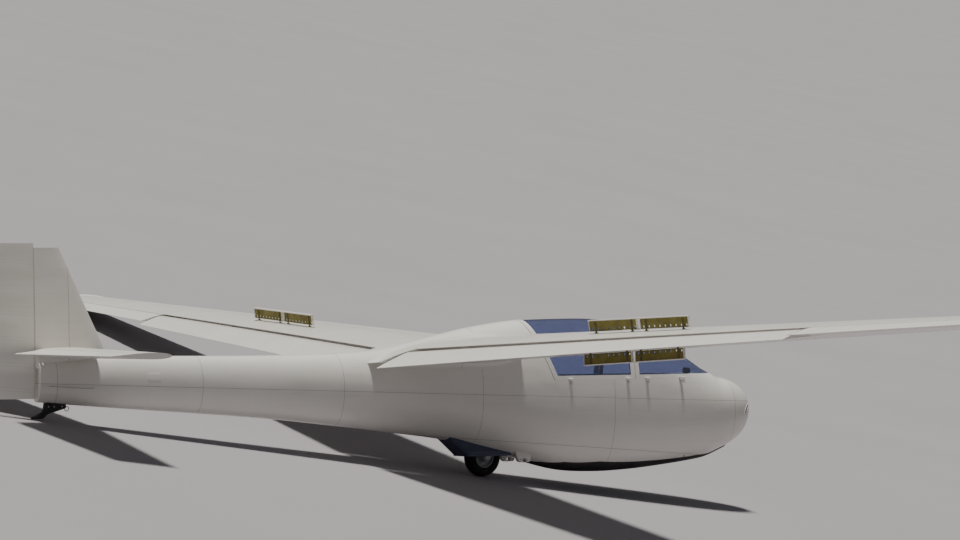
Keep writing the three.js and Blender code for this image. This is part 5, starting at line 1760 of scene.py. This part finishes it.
def puff(mesh, cap):
    """Blows a closed mesh up like a stuffed cushion, and leaves its moved points in it."""
    body = bpy.data.objects.new("stuffing", mesh)
    bpy.context.scene.collection.objects.link(body)
    fine = body.modifiers.new("fine", "REMESH")
    fine.mode = "VOXEL"
    fine.voxel_size = 0.006
    graph = bpy.context.evaluated_depsgraph_get()
    remeshed = bpy.data.meshes.new_from_object(body.evaluated_get(graph))
    body.modifiers.clear()
    body.data = remeshed
    before = [vert.co.copy() for vert in remeshed.vertices]
    after = before
    cloth = body.modifiers.new("cloth", "CLOTH")
    cloth.settings.use_pressure = True
    cloth.settings.uniform_pressure_force = 4
    cloth.settings.effector_weights.gravity = 0
    for step in range(1, 21):
        bpy.context.scene.frame_set(step)
    graph = bpy.context.evaluated_depsgraph_get()
    after = [vert.co.copy() for vert in body.evaluated_get(graph).data.vertices]
    body.modifiers.clear()
    for vert, old, new in zip(remeshed.vertices, before, after):
        move = new - old
        if move.length > cap:
            move *= cap / move.length
        vert.co = old + move
    bpy.data.objects.remove(body)
    return remeshed


def pad(length, width, thick, channels):
    """A stuffed pad lying on Z = 0, sewn across in channels; X runs along it."""
    form = bmesh.new()
    margin = 0.007
    far = Vector((length / 2 - margin, width / 2 - margin, thick - margin))
    box(form, (-far.x, -far.y, 0.002), far)
    bmesh.ops.bevel(form, geom=form.edges[:], offset=0.014, segments=3, affect="EDGES")
    mesh = bpy.data.meshes.new("pad")
    form.to_mesh(mesh)
    form.free()
    mesh = puff(mesh, 0.0065)
    for vert in mesh.vertices:
        place = vert.co
        place.z = max(place.z, 0.0)
        top = min(1.0, max(0.0, (place.z - thick * 0.45) / (thick * 0.3)))
        for channel in channels:
            gap = abs(place.x - channel)
            inside = min(1.0, max(0.0, (width / 2 - 0.012 - abs(place.y)) / 0.01))
            place.z -= top * inside * 0.0055 * math.exp(-(gap / 0.006) ** 2)
        crown = (1 - (2 * place.x / length) ** 4) * (1 - (2 * place.y / width) ** 4)
        place.z += top * 0.003 * max(0.0, crown)
    return mesh


def cushions():
    """Seat and back pads, stuffed and sewn."""
    seat_pad = pad(0.385, 0.385, 0.044, (-0.10, 0.0, 0.10))
    back_pad = pad(0.520, 0.385, 0.046, (-0.17, -0.085, 0.0, 0.085, 0.17))
    for name, foot in SEAT_FEET.items():
        for part, mesh, rear, front in (
                ("seat", seat_pad, Vector((foot + 0.018, 0, 0.200)), Vector((foot + 0.411, 0, 0.2385))),
                ("back", back_pad, Vector((foot - 0.208, 0, 0.724)), Vector((foot + 0.004, 0, 0.227)))):
            along = (front - rear).normalized()
            rise = along.cross(Vector((0, 1, 0))).normalized()
            middle = (rear + front) / 2 + rise * 0.0015
            bm = bmesh.new()
            bm.from_mesh(mesh)
            bm.transform(axes_at(middle, along, Vector((0, 1, 0)), rise))
            stands_for = [f"{name}_cushion"]
            made = piece(f"{name}_{part}_pad", bm, "leather", stands_for, smooth=80, rounds=1)


def strap_over(bm, points, across, width=0.044):
    ribbon(bm, curve_through(points, 6), across, width, 0.0022)


def harnesses():
    """Lap and shoulder straps with a round buckle, lying on each seat's pads."""
    for name, foot in SEAT_FEET.items():
        straps, metal = bmesh.new(), bmesh.new()
        hub = Vector((foot + 0.155, 0, 0.3115))
        for sign in SIDES.values():
            lap = [(foot + 0.030, sign * 0.203, 0.262), (foot + 0.060, sign * 0.17, 0.302),
                   (foot + 0.105, sign * 0.10, 0.3125), hub + Vector((-0.012, sign * 0.030, 0.001))]
            strap_over(straps, lap, (1, 0, 0.1))
            shoulder = [(foot - 0.266, sign * 0.075, 0.600), (foot - 0.270, sign * 0.075, 0.700),
                        (foot - 0.245, sign * 0.075, 0.750), (foot - 0.175, sign * 0.075, 0.763),
                        (foot - 0.135, sign * 0.074, 0.700), (foot - 0.030, sign * 0.070, 0.455),
                        (foot + 0.045, sign * 0.055, 0.332), hub + Vector((-0.034, sign * 0.018, 0.002))]
            strap_over(straps, shoulder, (0, 1, 0))
            y = sign * 0.072
            box(metal, (foot - 0.064, y - 0.028, 0.505), (foot - 0.050, y + 0.028, 0.545))
        rod(metal, hub - Vector((0, 0, 0.004)), hub + Vector((0, 0, 0.010)), 0.030, 28)
        rod(metal, hub + Vector((0, 0, 0.010)), hub + Vector((0, 0, 0.015)), 0.019, 20)
        piece(f"{name}_straps", straps, "webbing", smooth=50)
        piece(f"{name}_buckles", metal, "steel", smooth=35, bevel=0.001)


# The sticks' moulded grip and folded boot, as (radius, height) pairs
GRIP = ((0.0, 0.0), (0.014, 0.0), (0.0175, 0.008), (0.0155, 0.020), (0.0175, 0.032), (0.0155, 0.044),
        (0.0175, 0.056), (0.0160, 0.068), (0.0185, 0.082), (0.0165, 0.094), (0.0, 0.0965))
BOOT = [(0.052 - 0.034 * k / 12 + (0.004 if k % 2 else -0.002), 0.141 + 0.0088 * k) for k in range(13)]


def sticks():
    for name, foot in (("front", 2.240), ("rear", 1.480)):
        tubes, grip, boot = bmesh.new(), bmesh.new(), bmesh.new()
        line = [(foot - aft, 0, z) for aft, z in ((0, 0.141), (0.004, 0.22), (0.016, 0.34), (0.034, 0.47))]
        tube(tubes, curve_through(line), 0.0105, 16)
        lean = Matrix.Translation((foot - 0.0315, 0, 0.425)) @ Matrix.Rotation(math.radians(-7), 4, "Y")
        turned(grip, smooth_profile(GRIP, 3), 24, lean)
        boot_line = [(max(radius, 0.012), height) for radius, height in smooth_profile(BOOT, 3)]
        turned(boot, boot_line, 28, Matrix.Translation((foot, 0, 0)))
        piece(f"{name}_stick_tube", tubes, "grey", [f"{name}_stick"], smooth=50)
        piece(f"{name}_stick_grip", grip, "rubber", smooth=50)
        piece(f"{name}_stick_boot", boot, "leather", smooth=60)
    tie = bmesh.new()
    rod(tie, (1.485, 0.030, 0.151), (2.235, 0.030, 0.151), 0.009, 16)
    piece("control_tube", tie, "grey", smooth=40)


def pedals():
    """Rudder pedals on their arms, forward of the front panel."""
    bm = bmesh.new()
    loops = bmesh.new()
    for sign in SIDES.values():
        lean = Matrix.Translation((2.445, sign * 0.080, 0.240)) @ Matrix.Rotation(math.radians(18), 4, "Y")
        box(bm, (-0.003, -0.042, 0.0), (0.003, 0.042, 0.150), lean)
        for k in range(4):
            box(bm, (-0.007, -0.040, 0.020 + 0.033 * k), (-0.003, 0.040, 0.028 + 0.033 * k), lean)
        tube(bm, [(2.448, sign * 0.080, 0.250), (2.450, sign * 0.080, 0.176)], 0.009, 12)
        heel = [(2.440, sign * 0.122, 0.290), (2.385, sign * 0.122, 0.305),
                (2.385, sign * 0.038, 0.305), (2.440, sign * 0.038, 0.290)]
        ribbon(loops, curve_through(heel, 5), (0, 0, 1), 0.022, 0.0025)
    rod(bm, (2.450, -0.125, 0.222), (2.450, 0.125, 0.222), 0.0085, 16)
    piece("rudder_pedals", bm, "grey", smooth=35, bevel=0.001)
    piece("pedal_loops", loops, "webbing", smooth=50)


def side_levers():
    """Quadrants on the port wall with the airbrake, flap and trim levers."""
    for name, x in (("front", 2.02), ("rear", 1.26)):
        wall = skin_half(x, 0.56, WALL)
        body = bmesh.new()
        box(body, (x - 0.11, wall - 0.034, 0.500), (x + 0.11, wall - 0.001, 0.540))
        for k in range(3):
            lever_x = x - 0.06 + 0.06 * k
            rod(body, (lever_x, wall - 0.020, 0.53), (lever_x + 0.018, wall - 0.034, 0.615), 0.0042, 12)
        for k in range(4):
            bolt_x = x - 0.095 + 0.063 * k
            rod(body, (bolt_x, wall - 0.035, 0.520), (bolt_x, wall - 0.030, 0.520), 0.004, 8)
        piece(f"{name}_quadrant", body, "grey", smooth=35, bevel=0.0015)
        for k, finish in enumerate(("blue", "dark", "green")):
            knob = bmesh.new()
            ball(knob, Vector((x - 0.042 + 0.06 * k, wall - 0.0345, 0.622)), 0.012, Vector((1, 1, 1.35)))
            piece(f"{name}_lever_knob_{k + 1}", knob, finish, smooth=60)


def sill_seal():
    """Rubber strips along the sills, under the hoods."""
    seal = bmesh.new()
    places = stations(0.62, 2.42, 0.05)
    for sign in SIDES.values():
        line = [(x, sign * (skin_half(x, SILL) - 0.024), SILL + 0.0003) for x in places]
        ribbon(seal, line, (0, 1, 0), 0.010, 0.003)
    piece("sill_seal", seal, "rubber", smooth=50)


def cabin_ribs():
    """Frames round the inside of the cockpit, from the floor up to the sills."""
    ribs = bmesh.new()
    angles = [math.radians(a) for a in range(120, 421, 5)]
    near, far = WALL + 0.0005, WALL + 0.014
    for x in (1.30, 1.90, 2.62):
        rear, front = x - 0.011, x + 0.011
        section = ((rear, near), (rear, far), (front, far), (front, near), (rear, near))
        rows_of(ribs, [[skin_point(px, a, inset) for a in angles] for px, inset in section], closed=False)
    weld(ribs)
    split(ribs, (0, 0, FLOOR_TOP), (0, 0, -1), drop=True)
    split(ribs, (0, 0, SILL - 0.010), (0, 0, 1), drop=True)
    fill_holes(ribs)
    outward(ribs)
    piece("cabin_ribs", ribs, "cabin", smooth=40)


# The head rest's side view: heights, and distances ahead of the bulkhead's plane
REST = ((0.800, 0.035), (0.925, 0.035), (0.934, 0.062), (0.915, 0.082), (0.815, 0.082), (0.802, 0.064))


def head_rest():
    rest = bmesh.new()
    lean = BULKHEAD_NORMAL.z / BULKHEAD_NORMAL.x
    side = [(BULKHEAD_FOOT.x - (z - BULKHEAD_FOOT.z) * lean + ahead, z) for z, ahead in REST]
    side_plate(rest, side, -0.085, 0.085)
    outward(rest)
    made = piece("rear_headrest", rest, "leather", smooth=60, bevel=0.008, rounds=2)


SLOT = {"x": 2.885, "z": 0.578, "lean": math.radians(50), "half_length": 0.070}
# Half lengths, as shares of the slot's, half widths and heights over the skin
SLOT_LIP = [(share, (share - 0.35) * 0.026, lift)
            for share, lift in ((0.74, 0.0004), (0.80, 0.0030), (0.94, 0.0030), (1.04, -0.0006))]
SLOT_MOUTH = [(share, share * 0.0125, 0.0006) for share in (0.02, 0.45, 0.80)]


def slot_rings(bm, rings, sign):
    """Ovals on the side of the nose, one inside the other, joined by faces."""
    c, s = math.cos(SLOT["lean"]), math.sin(SLOT["lean"])
    rows = []
    for share, half_width, lift in rings:
        row = []
        for ahead, up in circle(40):
            along, across = share * SLOT["half_length"] * ahead, half_width * up
            x = SLOT["x"] + along * c - across * s
            z = SLOT["z"] + along * s + across * c
            row.append(Vector((x, sign * (skin_half(x, z) + lift), z)))
        rows.append(row)
    return rows_of(bm, rows)


def outside_fittings():
    """Small things on the skin: the nose's air slots, hatches, control horns and the pitot opening; the
    openings of the air slots and of the pitot are dark faces of painted shade.
    """
    metal, plates, holes, lips = bmesh.new(), bmesh.new(), bmesh.new(), bmesh.new()
    for sign in SIDES.values():
        slot_rings(lips, SLOT_LIP, sign)
        # A dark face over each slot's mouth is painted shade; the skin under it is not cut.
        holes.faces.new(slot_rings(holes, SLOT_MOUTH, sign)[0])
        for x, z, wide, tall in ((-0.62, 0.93, 0.085, 0.055), (-3.55, 0.95, 0.07, 0.045)):
            hatch(plates, x, z, wide, tall, sign)
        edge = skin_half(-4.20, 0.86)
        rod_line = [(-4.14, sign * (edge - 0.004), 0.864), (-4.20, sign * (edge + 0.010), 0.86),
                    (-4.60, sign * 0.105, 0.885)]
        tube(metal, curve_through(rod_line), 0.0022, 8)
    tip = Vector((NOSE_TIP, 0, 0.575))
    rod(metal, tip - Vector((0.020, 0, 0)), tip + Vector((0.0010, 0, 0)), 0.0105, 24)
    # A dark disc at the pitot's end is painted shade for its bore.
    rod(holes, tip, tip + Vector((0.0014, 0, 0)), 0.0055, 16)
    outward(lips)
    piece("air_slot_lips", lips, "frame", smooth=40)
    piece("skin_fittings", metal, "steel", smooth=35)
    piece("openings_painted_shade", holes, "dark", smooth=35)
    piece("skin_hatches", plates, "frame", smooth=40)


def hatch(bm, x, z, wide, tall, sign):
    """A thin rounded cover that follows the fuselage's skin."""
    rows = []
    for k in range(13):
        along = -1 + 2 * k / 12
        span = (1 - abs(along) ** 4) ** 0.25 if abs(along) < 1 else 0.0
        row = []
        for s in range(9):
            up = (-1 + 2 * s / 8) * span
            px, pz = x + along * wide, z + up * tall
            lift = 0.0016 if 0 < s < 8 and 0 < k < 12 else -0.0006
            row.append(Vector((px, sign * (skin_half(px, pz) + lift), pz)))
        rows.append(row)
    rows_of(bm, rows, closed=False)
    weld(bm, 1e-6)


def carry_over(names, finish):
    """CAD nodes whose own shape is right get their finish."""
    for name in names:
        node = frame["nodes"][name]
        node.data.materials.clear()
        node.data.materials.append(FINISHES[finish])


# Stage, light and camera
def stage():
    bpy.ops.mesh.primitive_plane_add(size=1600, location=(0, 0, 0))
    floor = bpy.context.object
    floor.name = "pale_floor"
    floor.data.materials.append(floor_paint())
    world = bpy.data.worlds.new("studio")
    bpy.context.scene.world = world
    world.use_nodes = True
    world.node_tree.nodes["Background"].inputs["Color"].default_value = (0.80, 0.82, 0.90, 1)
    world.node_tree.nodes["Background"].inputs["Strength"].default_value = 0.155
    key = bpy.data.lights.new("key", "SUN")
    key.energy = 4.6
    key.angle = math.radians(8)
    key.color = (1.0, 0.965, 0.90)
    lamp = bpy.data.objects.new("key", key)
    toward = LEVEL.to_3x3() @ Vector((0.06, 0.02, -1.0))
    lamp.rotation_euler = toward.to_track_quat("-Z", "Y").to_euler()
    bpy.context.scene.collection.objects.link(lamp)


# The camera stands 54 m off the starboard quarter, where its bearing, height and focal length,
# in pixels of the 960 wide frame, put the machine as in the view that it was worked out from
VIEW = {"bearing": math.radians(34.0), "distance": 53.88, "shift": 0.063, "height": 2.15, "focal_px": 5915,
        "yaw_px": 5, "pitch_px": 29.8, "frame_px": 960}


def camera():
    bearing = VIEW["bearing"]
    ahead = Vector((math.sin(bearing), math.cos(bearing), 0))
    right = Vector((math.cos(bearing), -math.sin(bearing), 0))
    spot = -VIEW["distance"] * ahead - VIEW["shift"] * right + Vector((0, 0, VIEW["height"]))
    aim = ahead + right * VIEW["yaw_px"] / VIEW["focal_px"]
    aim -= Vector((0, 0, VIEW["pitch_px"] / VIEW["focal_px"]))
    aim.normalize()
    side = aim.cross(Vector((0, 0, 1))).normalized()
    data = bpy.data.cameras.new("camera")
    data.sensor_width = 36
    data.lens = VIEW["focal_px"] / VIEW["frame_px"] * data.sensor_width
    data.clip_end = 3000
    made = bpy.data.objects.new("camera", data)
    made.matrix_world = LEVEL @ axes_at(spot, side, side.cross(aim), -aim)
    bpy.context.scene.collection.objects.link(made)
    bpy.context.scene.camera = made


camera()
stage()
nose_cap()
cockpit_tub()
centre_fuselage()
dorsal_fairing()
tail_boom()
hoods()
wings()
wing_movers()
tailplane()
elevator()
fin()
rudder()
wheel()
wheel_leg()
wheel_fairing()
belly_skid()
tail_skid()
tow_hooks()
root_fillets()
flap_arms()
aileron_fittings()
hood_hinges()
hood_catches()
instrument_panels()
panel_shroud()
compass()
seats()
cushions()
harnesses()
sticks()
pedals()
side_levers()
sill_seal()
cabin_ribs()
head_rest()
outside_fittings()
carry_over(["cockpit_floor"], "cabin")
